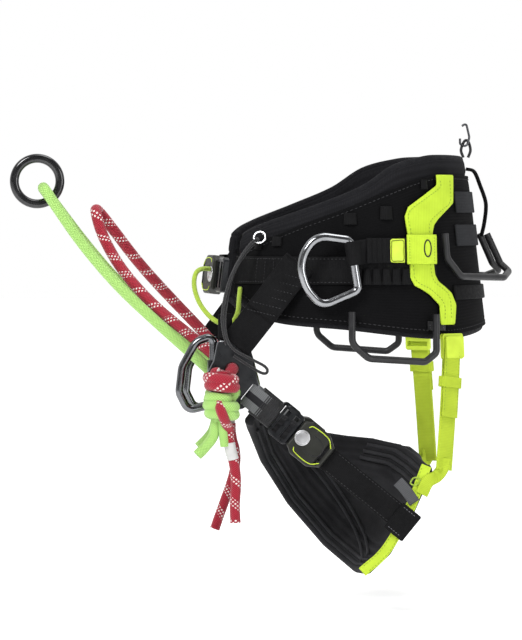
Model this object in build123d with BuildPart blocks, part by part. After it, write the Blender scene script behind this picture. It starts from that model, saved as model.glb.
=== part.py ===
from build123d import *
import math
import os

os.makedirs("parts", exist_ok=True)

# A tree climbing saddle, in millimetres. The wearer faces -Y, the wearer's left is +X, and +Z is up.
# The origin is the centre of the waist opening, level with the side rings.

# Waist belt: a ring of elliptic section that narrows upwards. Sizes are those of its outer face at z = 0.
WAIST_HALF_WIDTH = 165.0
WAIST_HALF_DEPTH = 138.0
WAIST_TAPER = 0.12
BELT_LOW = -90.0
BELT_HIGH = 130.0
FRONT_GAP = 62.0
SHELL_THICK = 2.0
PAD_THICK = 10.5
GAP = 0.3
WEB_THICK = 2.0
SLIDE_THICK = 3.0
LAYER = WEB_THICK + GAP
REACH = 260.0

# Webbing bands round the belt: lowest and highest level of each.
WAIST_WEB = (-15.0, 14.0)
SIDE_STRAP = (7.0, 33.0)
REAR_WEB = (-31.0, -16.0)
YOKE_KEEPER = (6.0, 36.0)
YOKE_ANGLE = 57.0

# Pieces along the side straps: front and back edge of each, seen from the side.
YOKE_KEEPER_SPAN = (43.0, 77.0)
STRAP_KEEPER_SPAN = (4.0, 24.0)
STRAP_KEEPER = (9.0, 32.0)
SLIDE_SPAN = (25.0, 42.0)

# Ribbed bands across the back.
REAR_BAND_FLOORS = (26.0, 60.0)
REAR_BAND_HEIGHT = 18.0
REAR_WEB_ANGLE = 47.0

# Small loops of webbing sewn to the belt: angle, level, length round the waist and height.
TAB_PLACES = [
    (139, 25, 10, 9), (129, 29, 12, 10), (96, 52, 14, 12), (80, 58, 14, 14), (60, 87, 9, 10),
]
TAB_THICK = 3.0

# Hip plates: aluminium plates that hang from the front of the belt, one on each side.
HIP_X = 130.0
HIP_THICK = 5.0
HIP_OUTLINE = [
    (-147, -72), (-117, -72), (-110, -95), (-104, -118), (-108, -132), (-122, -142),
    (-142, -140), (-157, -120), (-159, -108), (-151, -92),
]
HIP_CORNER_R = 4.0
HIP_CHAMFER = 0.8
SLOT_PLACE = (-116.0, -126.5)
SLOT_TURN = 50.6
SLOT_LENGTH = 25.0
SLOT_WIDTH = 5.0
HIP_STRAP_TOP = (153.0, -66.0, 6.0)
HIP_STRAP_FOOT = (138.0, -129.0, -77.0)
HIP_STRAP_WIDTH = 34.0
HIP_STRAP_THICK = 4.0
TAB_OUTLINE = [(-146, -45), (-132, -44), (-130, -70), (-146, -70)]
RED_HOLE = (-132.0, -101.0)
GREEN_HOLE = (-130.0, -125.0)
ROPE_HOLE_R = 6.5
RIGHT_SHIFT = (0.0, 24.0, -9.0)

# Ropes and cords.
ROPE_D = 11.5
TAIL_D = 10.5
ELASTIC_D = 3.0
CLOSING_D = 5.0
KNOT_R = 19.5
KNOT_CENTRE = (155.5, -144.5)
KNOT_ROUND = 6.0
STUB_LENGTH = 20.0
RED_KNOT = (-119.0, -95.0)
GREEN_KNOT = (-161.0, -119.3)

# Rings and gear loops.
SIDE_RING_X = 176.0
SIDE_RING_THICK = 9.0
SIDE_BAR = ((-15.5, 30.5), (-7.5, -20.0))
BAR_CLEARANCE = 0.3
SLEEVE_START = 13.0
SLEEVE_LENGTH = 26.0
FRONT_RING_X = 123.0
FRONT_RING_R = 4.2
FRONT_BAR_Y = -150.0
BRIDGE_RING_CENTRE = (0.0, -325.0, 91.0)
BRIDGE_RING_OUTER = 28.5
BRIDGE_RING_INNER = 19.0
BRIDGE_RING_DEPTH = 11.0
ACCESSORY_RING_R = 6.0
ACCESSORY_WIRE_R = 1.1
HOOK_WIRE_D = 2.4
GEAR_LOOP_R = 3.6

# Leg loops: every piece lies in a plane that leans outwards from the hip plate to the back of the thigh.
LEG_ORIGIN = (133.0, -117.0, -125.0)
LEG_DIRECTION = (0.170, 0.762, -0.625)
LEG_WEB = 25.0
PAD_WALL = 10.0
PAD_RIM = -6.0
PAD_DEPTH = 118.0
TAPE_WIDTH = 11.0
TAPE_THICK = 2.5
# Where the pad's back edge lies along the leg plane, at each height across it, and the pad's outline.
PAD_SECTIONS = [(-80.0, 211.0), (-35.0, 217.0), (10.0, 210.0), (66.0, 195.0)]
PAD_FRONT = 14.0
PAD_OUTLINE_LOW = [(8, -14), (22, -28), (50, -45), (97, -61), (154, -71), (198, -72), (214, -64), (230, -50)]
PAD_OUTLINE_HIGH = [(230, 62), (188, 61), (170, 63), (151, 62), (123, 49), (100, 34), (60, 10), (25, 2), (8, -2)]
TAPE_EDGE = [(194, 58), (209, 10), (216, -35), (211.5, -68)]
KEEPER_PLACE = (206.0, -2.0)
KEEPER_LENGTH = 24.0
KEEPER_WIDTH = 32.0
WEBBING_PLACE = (25.0, 0.0)
WEBBING_LENGTH = 23.0
SLEEVE_PLACE = (24.0, 0.0)
LEG_SLEEVE_LENGTH = 18.0
STRAP_START = 107.0
STRAP_END = 208.0
RISER_TOP = (139.0, 92.0, -62.0)
RISER_FOOT = (157.0, 82.0, -206.0)
RISER_WEB = 25.0

# Release buckles, the same on the waist and on both legs.
LEG_BUCKLE_AT = 85.5
BUCKLE_LENGTH = 41.0
BUCKLE_WIDTH = 40.0
BUCKLE_THICK = 13.0
TONGUE_WIDTH = 20.0
BUTTON_R = 6.5
BUTTON_X = -12.0


def waist_radii(level, offset):
    """Half width and half depth of the belt's outer face at a level, grown by an offset."""
    return (
        WAIST_HALF_WIDTH - WAIST_TAPER * level + offset,
        WAIST_HALF_DEPTH - WAIST_TAPER * level + offset,
    )


def waist_point(angle, level, offset):
    """A point on the belt. The angle runs from the middle of the back towards the wearer's left."""
    half_width, half_depth = waist_radii(level, offset)
    turn = math.radians(angle)
    return Vector(half_width * math.sin(turn), half_depth * math.cos(turn), level)


def waist_plane(angle, level, offset):
    """A plane that lies on the belt there: x runs forwards round the waist and z points outwards."""
    half_width, half_depth = waist_radii(level, offset)
    place = waist_point(angle, level, offset)
    lean = WAIST_TAPER * (place.X**2 / half_width**3 + place.Y**2 / half_depth**3)
    outwards = Vector(place.X / half_width**2, place.Y / half_depth**2, lean)
    return Plane(origin=place, x_dir=outwards.cross(Vector(0, 0, 1)), z_dir=outwards)


def waist_ring(inner, outer, low, high):
    """A ring of the belt's shape, between two offsets and two levels."""
    with BuildPart() as ring:
        for offset, mode in ((outer, Mode.ADD), (inner, Mode.SUBTRACT)):
            for level in (low, high):
                with BuildSketch(Plane.XY.offset(level)):
                    Ellipse(*waist_radii(level, offset))
            loft(ruled=True, mode=mode)
    return ring.part


def side_prism(points, near=-REACH, far=REACH):
    """A prism across the saddle, from x = near to x = far, with an outline seen from the side."""
    with BuildPart() as prism:
        with BuildSketch(Plane.YZ.offset(near)):
            with BuildLine():
                Polyline(*points, close=True)
            make_face()
        extrude(amount=far - near)
    return prism.part


def side_band(back, front):
    """A prism across the saddle between two distances along y."""
    return side_prism([(back, BELT_LOW), (front, BELT_LOW), (front, BELT_HIGH), (back, BELT_HIGH)])


def sector(start, end):
    """A wedge of the waist between two angles, and its mirror image."""
    turns = [start + (end - start) * step / 4 for step in range(5)]
    rim = [(REACH * math.sin(math.radians(turn)), REACH * math.cos(math.radians(turn))) for turn in turns]
    with BuildPart() as wedge:
        with BuildSketch(Plane.XY.offset(BELT_LOW)):
            with BuildLine():
                Polyline((0, 0), *rim, close=True)
            make_face()
            mirror(about=Plane.YZ)
        extrude(amount=BELT_HIGH - BELT_LOW)
    return wedge.part


def tube(path_points, radii, diameter, close=False):
    """A round tube along straight runs joined by arcs."""
    with BuildPart() as pipe:
        with BuildLine() as path:
            FilletPolyline(*path_points, radius=radii, close=close)
        start = path.wire() ^ 0
        with BuildSketch(Plane(origin=start.position, z_dir=start.z_axis.direction)):
            Circle(diameter / 2)
        sweep(path=path.wire())
    return pipe.part


def cord_radii(points):
    """The largest arc that each corner of a route has room for."""
    radii = []
    for before, corner, after in zip(points, points[1:], points[2:]):
        run_in = Vector(*corner) - Vector(*before)
        run_out = Vector(*after) - Vector(*corner)
        half_turn = math.radians(run_in.get_angle(run_out)) / 2
        radii.append(0.45 * min(run_in.length, run_out.length) / math.tan(half_turn))
    return radii


def cord(name, points, diameter):
    """A cord's tube. Its radii, length and volume are printed."""
    radii = cord_radii(points)
    pipe = tube(points, radii, diameter)
    with BuildLine() as path:
        FilletPolyline(*points, radius=radii)
    length = path.wire().length
    section = math.pi * diameter**2 / 4
    print(name, "radii", [round(radius) for radius in radii], "length", round(length))
    print(name, "volume ratio", round(pipe.volume / (section * length), 4))
    return pipe


def strap(sections, width, thickness):
    """Webbing through sections. Each is its centre, the direction across it and the one along it."""
    with BuildPart() as webbing:
        for centre, across, along in sections:
            with BuildSketch(Plane(origin=centre, x_dir=across, z_dir=along)):
                Rectangle(width, thickness)
        loft(ruled=True)
    return webbing.part


def twin(part, shift=(0, 0, 0)):
    """The right-hand twin of a left-hand piece."""
    return Location(shift) * mirror(part, about=Plane.YZ)


def save(name, part):
    """Labels a finished piece and writes it."""
    part.label = name
    export_step(part, f"parts/{name}.step")


def buckle_body(plane):
    """The female half of a release buckle. The tongue enters at -x and the webbing leaves at +x."""
    half, side = BUCKLE_LENGTH / 2, BUCKLE_WIDTH / 2
    with BuildPart() as body:
        with BuildSketch(Plane.XY.offset(-BUCKLE_THICK / 2)):
            with BuildLine():
                Polyline(
                    (-half, side - 5), (-half + 8, side), (half - 12, side), (half, side - 8),
                    (half, 8 - side), (half - 12, -side), (8 - half, -side), (-half, 5 - side), close=True,
                )
            make_face()
            fillet(vertices(), radius=2.5)
        extrude(amount=BUCKLE_THICK)
        fillet(faces().sort_by(Axis.Z)[-1].edges(), radius=2.5)
        chamfer(faces().sort_by(Axis.Z)[0].edges(), length=1)
        with Locations((-half + 5, 0, 0)):
            Box(14, TONGUE_WIDTH + 2, 4, mode=Mode.SUBTRACT)
        with Locations((half - 6, 0, 0)):
            Box(4, LEG_WEB + 2, BUCKLE_THICK * 2, mode=Mode.SUBTRACT)
        with Locations((BUTTON_X, 0, BUCKLE_THICK / 2)):
            Cylinder(BUTTON_R + 0.4, 8, mode=Mode.SUBTRACT)
    return plane.location * body.part


def buckle_tongue(plane):
    """The male half: a frame with a bar that the webbing is doubled round, and a steel tongue."""
    front = -BUCKLE_LENGTH / 2
    with BuildPart() as tongue:
        with BuildSketch(Plane.XY.offset(-3)):
            with Locations((front - 13, 0)):
                RectangleRounded(24, 36, 5)
            with Locations((front - 19, 0), (front - 8, 0)):
                Rectangle(6, LEG_WEB + 2, mode=Mode.SUBTRACT)
        extrude(amount=6)
        chamfer(faces().sort_by(Axis.Z)[-1].outer_wire().edges(), length=1.2)
        with Locations((front + 4.5, 0, 0)):
            Box(11.2, TONGUE_WIDTH, 3)
    return plane.location * tongue.part


def buckle_button(plane):
    """The press button, a short round cap that stands 1.5 mm proud of the body."""
    with BuildPart() as button:
        with BuildSketch(Plane.XY.offset(BUCKLE_THICK / 2 - 1.2)):
            with Locations((BUTTON_X, 0)):
                Circle(BUTTON_R)
        extrude(amount=2.7)
        fillet(faces().sort_by(Axis.Z)[-1].edges(), radius=0.8)
        with Locations((BUTTON_X, 0, BUCKLE_THICK / 2 + 1.5)):
            Cylinder(3, 1.2, mode=Mode.SUBTRACT)
    return plane.location * button.part


# ---------------------------------------------------------------- waist belt
front_gap = Pos(0, -REACH / 2, 0) * Box(2 * FRONT_GAP, REACH, REACH)
with BuildPart() as waist_pad:
    add(waist_ring(-SHELL_THICK - GAP - PAD_THICK, -SHELL_THICK - GAP, BELT_LOW, BELT_HIGH))
    with BuildSketch(Plane.YZ):
        with BuildLine():
            Polyline((150, 114), (96, 115), (70, 113))
            Spline((70, 113), (35, 104), (0, 83), (-45, 65), (-91, 48), (-112, 37), (-125, 20))
            Polyline((-125, 20), (-118, -28))
            Spline((-118, -28), (-85, -50), (-15, -58), (80, -68), (150, -57))
            Line((150, -57), (150, 114))
        make_face()
    extrude(amount=REACH, both=True, mode=Mode.INTERSECT)
    add(front_gap, mode=Mode.SUBTRACT)
save("waist_pad", waist_pad.part)

with BuildPart() as belt_shell:
    add(waist_ring(-SHELL_THICK, 0, BELT_LOW, BELT_HIGH))
    with BuildSketch(Plane.YZ):
        with BuildLine():
            Polyline((150, 96), (96, 97), (70, 94))
            Spline((70, 94), (35, 83), (-20, 62), (-65, 45), (-108, 24), (-121, 10))
            Polyline((-121, 10), (-115, -28))
            Spline((-115, -28), (-85, -48), (-15, -56), (80, -66), (150, -55))
            Line((150, -55), (150, 96))
        make_face()
    extrude(amount=REACH, both=True, mode=Mode.INTERSECT)
    add(front_gap, mode=Mode.SUBTRACT)
save("belt_shell", belt_shell.part)

with BuildPart() as waist_webbing:
    add(waist_ring(GAP, LAYER, *WAIST_WEB))
    add(sector(YOKE_ANGLE, 180), mode=Mode.INTERSECT)
    add(side_prism([(-160, -40), (-119, -40), (-119, 40), (-160, 40)], near=-6), mode=Mode.SUBTRACT)
save("waist_webbing", waist_webbing.part)

YOKE_OUTLINE = [
    (78, 97), (78, 86), (46, 64), (42, 54), (46, 30), (47, -8), (52, -16), (68, -25), (79, -36),
    (80, -56), (97, -56), (99, -36), (94, -24), (79, -12), (74, -2), (73, 38), (80, 52), (98, 68), (99, 97),
]
with BuildPart() as yokes:
    add(waist_ring(GAP + LAYER, GAP + LAYER + WEB_THICK, -57, 97))
    add(side_prism(YOKE_OUTLINE), mode=Mode.INTERSECT)
save("yokes", yokes.part)

with BuildPart() as side_straps:
    add(waist_ring(GAP + 2 * LAYER, GAP + 2 * LAYER + WEB_THICK, *SIDE_STRAP))
    add(sector(YOKE_ANGLE + 2, 92), mode=Mode.INTERSECT)
    bar_bottom = Vector(SIDE_RING_X, *SIDE_BAR[1])
    bar_top = Vector(SIDE_RING_X, *SIDE_BAR[0])
    bar_plane = Plane(origin=bar_bottom, z_dir=bar_top - bar_bottom)
    bore_r = SIDE_RING_THICK / 2 + BAR_CLEARANCE
    with BuildSketch(bar_plane.offset(SLEEVE_START)):
        Circle(bore_r + WEB_THICK)
    extrude(amount=SLEEVE_LENGTH)
    with BuildSketch(Plane.XY.offset(SIDE_STRAP[0])):
        with BuildLine():
            Polyline((170, -9), (182.5, -10), (178, -3), (171, 2.5), (168, 2.5), close=True)
        make_face()
    extrude(amount=SIDE_STRAP[1] - SIDE_STRAP[0])
    with BuildSketch(bar_plane.offset(-10)):
        Circle(bore_r)
    extrude(amount=80, mode=Mode.SUBTRACT)
    add(side_prism([(-80, -60), (-80, 80), (80, 80), (80, -60)], near=0), mode=Mode.INTERSECT)
    mirror(about=Plane.YZ)
save("side_straps", side_straps.part)

with BuildPart() as yoke_keepers:
    add(waist_ring(GAP + 3 * LAYER, GAP + 3 * LAYER + WEB_THICK, *YOKE_KEEPER))
    add(side_band(*YOKE_KEEPER_SPAN), mode=Mode.INTERSECT)
save("yoke_keepers", yoke_keepers.part)

with BuildPart() as side_strap_keepers:
    add(waist_ring(GAP + 3 * LAYER, GAP + 3 * LAYER + WEB_THICK, *STRAP_KEEPER))
    add(side_band(*STRAP_KEEPER_SPAN), mode=Mode.INTERSECT)
save("side_strap_keepers", side_strap_keepers.part)

with BuildPart() as side_strap_slides:
    add(waist_ring(GAP + 3 * LAYER, GAP + 3 * LAYER + SLIDE_THICK, SIDE_STRAP[0], SIDE_STRAP[1] - 1))
    add(side_band(*SLIDE_SPAN), mode=Mode.INTERSECT)
save("side_strap_slides", side_strap_slides.part)

with BuildPart() as rear_webbing:
    add(waist_ring(GAP, LAYER, *REAR_WEB))
    add(sector(0, REAR_WEB_ANGLE), mode=Mode.INTERSECT)
    for floor in REAR_BAND_FLOORS:
        add(waist_ring(GAP, LAYER, floor, floor + REAR_BAND_HEIGHT))
    add(side_prism([(98, -40), (98, 90), (160, 90), (160, -40)]), mode=Mode.INTERSECT)
save("rear_webbing", rear_webbing.part)

tab_boxes = []
for angle, level, length, height in TAB_PLACES:
    for side in (angle, -angle):
        tab_boxes.append(waist_plane(side, level, 2.2).location * Box(length, height, TAB_THICK))
with BuildPart() as gear_tabs:
    for tab in tab_boxes:
        add(tab)
save("gear_tabs", gear_tabs.part)

# ---------------------------------------------------------------- hip straps and hip plates
strap_top = Vector(*HIP_STRAP_TOP)
strap_foot = Vector(*HIP_STRAP_FOOT)
strap_way = strap_foot - strap_top
hip_strap = strap(
    [
        (strap_top, Vector(0.45, 0.68, -0.58), strap_way),
        (strap_top + strap_way * 0.5 + Vector(4, 0, 0), Vector(0.22, 0.72, -0.66), strap_way),
        (strap_foot, Vector(0, 0.77, -0.64), strap_way),
    ],
    HIP_STRAP_WIDTH, HIP_STRAP_THICK,
)
hip_strap_twin = twin(hip_strap)
with BuildPart() as hip_straps:
    add(hip_strap)
    add(hip_strap_twin)
save("hip_straps", hip_straps.part)

with BuildPart() as hip_plate_left:
    with BuildSketch(Plane.YZ.offset(HIP_X)):
        with BuildLine():
            Polyline(*HIP_OUTLINE, close=True)
        make_face()
        fillet(vertices(), radius=HIP_CORNER_R)
        with Locations(RED_HOLE, GREEN_HOLE):
            Circle(ROPE_HOLE_R, mode=Mode.SUBTRACT)
        with Locations(Location((*SLOT_PLACE, 0), SLOT_TURN)):
            SlotOverall(SLOT_LENGTH, SLOT_WIDTH, mode=Mode.SUBTRACT)
    extrude(amount=HIP_THICK)
    chamfer(faces().filter_by(Axis.X).sort_by(Axis.X)[-1].edges(), length=HIP_CHAMFER)
    chamfer(faces().filter_by(Axis.X).sort_by(Axis.X)[0].edges(), length=HIP_CHAMFER)
    with BuildSketch(Plane.XY.offset(-118)):
        with Locations((FRONT_RING_X + 1, FRONT_BAR_Y)):
            Rectangle(14, 12)
    extrude(amount=26)
    with BuildSketch(Plane.XY.offset(-130)):
        with Locations((FRONT_RING_X, FRONT_BAR_Y)):
            Circle(FRONT_RING_R + BAR_CLEARANCE)
    extrude(amount=50, mode=Mode.SUBTRACT)
save("hip_plate_left", hip_plate_left.part)
save("hip_plate_right", twin(hip_plate_left.part, RIGHT_SHIFT))

with BuildPart() as front_tab:
    with BuildSketch(Plane.YZ.offset(HIP_X)):
        with BuildLine():
            Polyline(*TAB_OUTLINE, close=True)
        make_face()
    extrude(amount=TAB_THICK)
save("front_tab", front_tab.part)

# ---------------------------------------------------------------- rings
SIDE_RING_PATH = [SIDE_BAR[0], (-50, 35), (-68, 10), (-60, -18), (-44, -36), SIDE_BAR[1]]
with BuildPart() as side_ring_left:
    add(tube(
        [(SIDE_RING_X, *point) for point in SIDE_RING_PATH],
        [7, 20, 34, 34, 14, 6], SIDE_RING_THICK, close=True,
    ))
save("side_ring_left", side_ring_left.part)
save("side_ring_right", twin(side_ring_left.part))

FRONT_RING_PATH = [
    (FRONT_BAR_Y, -67), (-168, -73), (-182, -99), (-185, -125), (-176, -143), (FRONT_BAR_Y, -137),
]
with BuildPart() as front_ring_left:
    add(tube(
        [(FRONT_RING_X, *point) for point in FRONT_RING_PATH],
        [6, 16, 20, 12, 9, 7], FRONT_RING_R * 2, close=True,
    ))
save("front_ring_left", front_ring_left.part)
save("front_ring_right", twin(front_ring_left.part, RIGHT_SHIFT))

with BuildPart() as bridge_ring:
    with BuildSketch(Plane.XY):
        with Locations(((BRIDGE_RING_OUTER + BRIDGE_RING_INNER) / 2, 0)):
            Rectangle(BRIDGE_RING_OUTER - BRIDGE_RING_INNER, BRIDGE_RING_DEPTH)
        fillet(vertices(), radius=3.8)
    revolve(axis=Axis.Y)
ring_plane = Plane(origin=BRIDGE_RING_CENTRE, x_dir=(0, 1, 0), z_dir=(0, 0, 1))
save("bridge_ring", ring_plane.location * bridge_ring.part)

# ---------------------------------------------------------------- ropes, knots and cords
GREEN_LEFT = [
    (129.7, -130, -125), (108, -130, -125), (92, -160, -95), (65, -203, -56), (40, -242, -19),
    (20, -278, 24), (13, -304, 62), (13, -318.5, 84),
]
RED_LEFT = [
    (129.7, -132, -101), (107, -132, -101), (82, -167, -71), (51, -208, -37), (27, -239, -1),
    (14, -258, 34), (12, -265, 60),
]
GREEN_RIGHT = [
    (-13, -318.5, 84), (-13, -302, 62), (-20, -274, 25), (-40, -238, -16), (-64, -198, -51),
    (-90, -146, -96), (-108, -106, -134), (-129.7, -106, -134),
]
RED_RIGHT = [
    (-10, -262, 62), (-14, -246, 42), (-34, -218, 6), (-60, -184, -30), (-86, -146, -68),
    (-107, -108, -110), (-129.7, -108, -110),
]
green_rope = cord("green_rope", GREEN_LEFT + GREEN_RIGHT, ROPE_D)
save("green_rope", green_rope)
red_rope = cord("red_rope", RED_LEFT + RED_RIGHT, ROPE_D)
save("red_rope", red_rope)


def stopper_knot(levels, hole, tail_points):
    """A barrel knot outside a hip plate, with the rope's stub through the plate and any short tail."""
    low, high = levels
    with BuildPart() as knot:
        with BuildSketch(Plane.XY.offset(low)):
            with Locations(KNOT_CENTRE):
                Circle(KNOT_R)
        extrude(amount=high - low)
        fillet(edges(), radius=KNOT_ROUND)
        with BuildSketch(Plane.YZ.offset(HIP_X - GAP)):
            with Locations(hole):
                Circle(ROPE_D / 2)
        extrude(amount=STUB_LENGTH)
        if tail_points:
            add(tube(tail_points, cord_radii(tail_points), TAIL_D))
    return knot.part


GREEN_TAIL = [(155, -149, -150), (155, -153, -168), (155, -161, -179), (156, -171, -189)]
red_knot = stopper_knot(RED_KNOT, RED_HOLE, None)
red_knot_twin = twin(red_knot, RIGHT_SHIFT)
with BuildPart() as red_knots:
    add(red_knot)
    add(red_knot_twin)
save("red_knots", red_knots.part)

green_knot = stopper_knot(GREEN_KNOT, GREEN_HOLE, GREEN_TAIL)
green_knot_twin = twin(green_knot, RIGHT_SHIFT)
with BuildPart() as green_knots:
    add(green_knot)
    add(green_knot_twin)
save("green_knots", green_knots.part)

RED_TAIL_LEFT = [
    (155, -137, -161.2), (155, -137, -176), (154, -131, -196), (152.5, -129, -217), (152, -131, -237),
    (152, -130, -256),
]
RED_TAIL_RIGHT = [
    (-154, -110, -170.2), (-154, -110, -184), (-154, -104, -202), (-153, -106, -223), (-152, -113, -244),
    (-151, -121, -265), (-150, -128, -285),
]
red_tail_left = cord("red_tail_left", RED_TAIL_LEFT, TAIL_D)
save("red_tail_left", red_tail_left)
red_tail_right = cord("red_tail_right", RED_TAIL_RIGHT, TAIL_D)
save("red_tail_right", red_tail_right)

accessory_ring_centre = waist_point(136, 33, 8)
accessory_plane = Plane(origin=accessory_ring_centre, x_dir=(0, 0.8, 0.6), z_dir=(0.9, -0.26, 0.35))
with BuildPart() as accessory_ring:
    with BuildSketch(Plane.XZ):
        with Locations((ACCESSORY_RING_R, 0)):
            Circle(ACCESSORY_WIRE_R)
    revolve(axis=Axis.Z)
save("accessory_ring", accessory_plane.location * accessory_ring.part)

ELASTIC_ROUTE = [
    (143, -138, -76), (143, -144, -56), (141, -141, -30), (134, -132, -2), (120.8, -115.2, 23.8),
    (120.4, -105, 32.4), (114.6, -103.4, 30.2), (115, -112.8, 22.2), (126, -130, -1), (135, -137, -28),
    (143, -141, -55), (146, -136, -79), (151, -114, -90), (152, -96, -99), (150, -99, -107),
    (150, -116, -97), (146, -131, -87),
]
elastic_cord = cord("elastic_cord", ELASTIC_ROUTE, ELASTIC_D)
save("elastic_cord", elastic_cord)

CLOSING_ROUTE = [
    (58, -149, 0), (70, -162, 2), (80, -168, -13), (92, -164, -32), (104, -155, -46), (114, -145, -54),
    (118, -133, -58), (112, -124, -46), (100, -122, -30), (92, -120, -19),
]
closing_loop = cord("closing_loop", CLOSING_ROUTE, CLOSING_D)
save("closing_loop", closing_loop)

# ---------------------------------------------------------------- gear loops, rear strap, hanging hook
LOWER_LOOP_PATH = [
    (177, -14, -42), (180, -14, -74), (177, 3, -89), (165, 62, -93), (161, 74, -84), (158, 74, -45),
]
lower_gear_loop = tube(LOWER_LOOP_PATH, [12, 12, 7, 7], GEAR_LOOP_R * 2)
save("lower_gear_loop_left", lower_gear_loop)
save("lower_gear_loop_right", twin(lower_gear_loop))

REAR_LOOP_PATH = [
    (134, 86, 37), (134, 88, 12), (122, 104, -7), (70, 156, -9), (36, 166, -3), (30, 158, 5), (28, 144, 36),
]
rear_gear_loop = tube(REAR_LOOP_PATH, [12, 12, 12, 5, 5], GEAR_LOOP_R * 2)
save("rear_gear_loop_left", rear_gear_loop)
save("rear_gear_loop_right", twin(rear_gear_loop))

with BuildPart() as rear_strap:
    with BuildSketch(Plane.YZ.offset(-5)):
        with BuildLine():
            Polyline(
                (124, 106), (134, 104), (147, 72), (148, 62), (145, 34), (138, 26), (138, 30),
                (142, 36), (145, 62), (144, 72), (132, 101), (124, 102), close=True,
            )
        make_face()
    extrude(amount=10)
save("rear_strap", rear_strap.part)

HOOK_CORD = [(0, 123, 116), (0, 119, 124), (0, 124, 134), (0, 128, 134), (0, 132, 124), (0, 128, 116)]
hook_cord = tube(HOOK_CORD, [6, 3, 3, 6], HOOK_WIRE_D)
save("hook_cord", hook_cord)
HOOK_WIRE = [(0, 119, 136), (0, 119, 130), (0, 125.9, 127), (0, 129, 137), (0, 125.5, 152), (0, 121, 149)]
hanging_hook = tube([(3, y, z) for _, y, z in HOOK_WIRE], [2.6, 3.4, 8, 2], HOOK_WIRE_D)
save("hanging_hook", hanging_hook)

# ---------------------------------------------------------------- waist buckle
buckle_plane = waist_plane(167, -6, 9)
save("waist_buckle_body", buckle_body(buckle_plane))
save("waist_buckle_tongue", buckle_tongue(buckle_plane))
save("waist_buckle_button", buckle_button(buckle_plane))

# ---------------------------------------------------------------- leg loops
leg_outwards = Vector(1, 0, 0) - Vector(*LEG_DIRECTION) * LEG_DIRECTION[0]
leg_plane = Plane(origin=LEG_ORIGIN, x_dir=LEG_DIRECTION, z_dir=leg_outwards)
leg_up = leg_plane.y_dir


def pad_section(height, back, wall):
    """A trough's section across the thigh: straight at its rim and round at its bottom."""
    centre = (PAD_FRONT + back) / 2
    half = (back - PAD_FRONT) / 2 - wall
    plane = Plane(origin=leg_plane.origin + leg_up * height, x_dir=leg_plane.x_dir, z_dir=leg_up * -1)
    with BuildSketch(plane) as section:
        with Locations((centre, PAD_RIM)):
            Ellipse(half, PAD_DEPTH - wall)
        with Locations((centre, PAD_RIM + PAD_DEPTH)):
            Rectangle(3 * half, 2 * PAD_DEPTH, mode=Mode.SUBTRACT)
    return section.sketch


with BuildPart() as pad_prism:
    with BuildSketch(leg_plane.offset(-200)):
        with BuildLine():
            Polyline(*PAD_OUTLINE_LOW, *PAD_OUTLINE_HIGH, close=True)
        make_face()
        fillet(vertices(), radius=3)
    extrude(amount=230)

with BuildPart() as leg_pad:
    for wall, mode in ((0, Mode.ADD), (PAD_WALL, Mode.SUBTRACT)):
        loft([pad_section(height, back, wall) for height, back in PAD_SECTIONS], ruled=True, mode=mode)
    add(pad_prism.part, mode=Mode.INTERSECT)
save("leg_pad_left", leg_pad.part)
save("leg_pad_right", twin(leg_pad.part, RIGHT_SHIFT))

with BuildPart() as edge_tape:
    with BuildSketch(leg_plane.offset(PAD_RIM + GAP)):
        with BuildLine():
            Polyline(*TAPE_EDGE, *[(x - TAPE_WIDTH, y) for x, y in reversed(TAPE_EDGE)], close=True)
        make_face()
    extrude(amount=TAPE_THICK)
save("edge_tape_left", edge_tape.part)
save("edge_tape_right", twin(edge_tape.part, RIGHT_SHIFT))

with BuildPart() as leg_strap:
    with BuildSketch(leg_plane):
        with Locations(((STRAP_START + STRAP_END) / 2, 0)):
            Rectangle(STRAP_END - STRAP_START, LEG_WEB)
    extrude(amount=WEB_THICK)
    with BuildSketch(leg_plane.offset(-2.6)):
        with Locations(KEEPER_PLACE):
            RectangleRounded(KEEPER_LENGTH, KEEPER_WIDTH, 3)
    extrude(amount=7)
save("leg_strap_left", leg_strap.part)
save("leg_strap_right", twin(leg_strap.part, RIGHT_SHIFT))

with BuildPart() as leg_webbing:
    with BuildSketch(leg_plane.offset(-2)):
        with Locations(WEBBING_PLACE):
            Rectangle(WEBBING_LENGTH, LEG_WEB)
    extrude(amount=4)
    with BuildSketch(leg_plane.offset(-3)):
        with Locations(SLEEVE_PLACE):
            RectangleRounded(LEG_SLEEVE_LENGTH, LEG_WEB + 5, 3)
    extrude(amount=6)
save("leg_webbing_left", leg_webbing.part)
save("leg_webbing_right", twin(leg_webbing.part, RIGHT_SHIFT))

leg_buckle_plane = Plane(
    origin=leg_plane.origin + leg_plane.x_dir * LEG_BUCKLE_AT + leg_plane.z_dir * 2,
    x_dir=leg_plane.x_dir, z_dir=leg_plane.z_dir,
)
for name, make in (("leg_buckle", buckle_body), ("leg_tongue", buckle_tongue), ("leg_button", buckle_button)):
    piece = make(leg_buckle_plane)
    save(f"{name}_left", piece)
    save(f"{name}_right", twin(piece, RIGHT_SHIFT))

# ---------------------------------------------------------------- risers and their adjusters
riser_across = Vector(-0.64, 0.77, 0)
riser_way = Vector(*RISER_FOOT) - Vector(*RISER_TOP)
riser_plane = Plane(origin=RISER_TOP, x_dir=riser_across, z_dir=riser_across.cross(riser_way) * -1)


def riser_strap(side, shift):
    """A riser from its adjuster down to the back corner of a leg pad."""
    top = Vector(RISER_TOP[0] * side, *RISER_TOP[1:])
    foot = Vector(RISER_FOOT[0] * side, *RISER_FOOT[1:]) + Vector(*shift)
    way = foot - top
    return strap(
        [
            (top + way * 0.24, Vector(-0.64 * side, 0.77, 0), way),
            (top + way * 0.6, Vector(-0.60 * side, 0.80, 0), way),
            (foot, Vector(-0.55 * side, 0.83, 0), way),
        ],
        RISER_WEB * 0.9, WEB_THICK * 1.5,
    )


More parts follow.
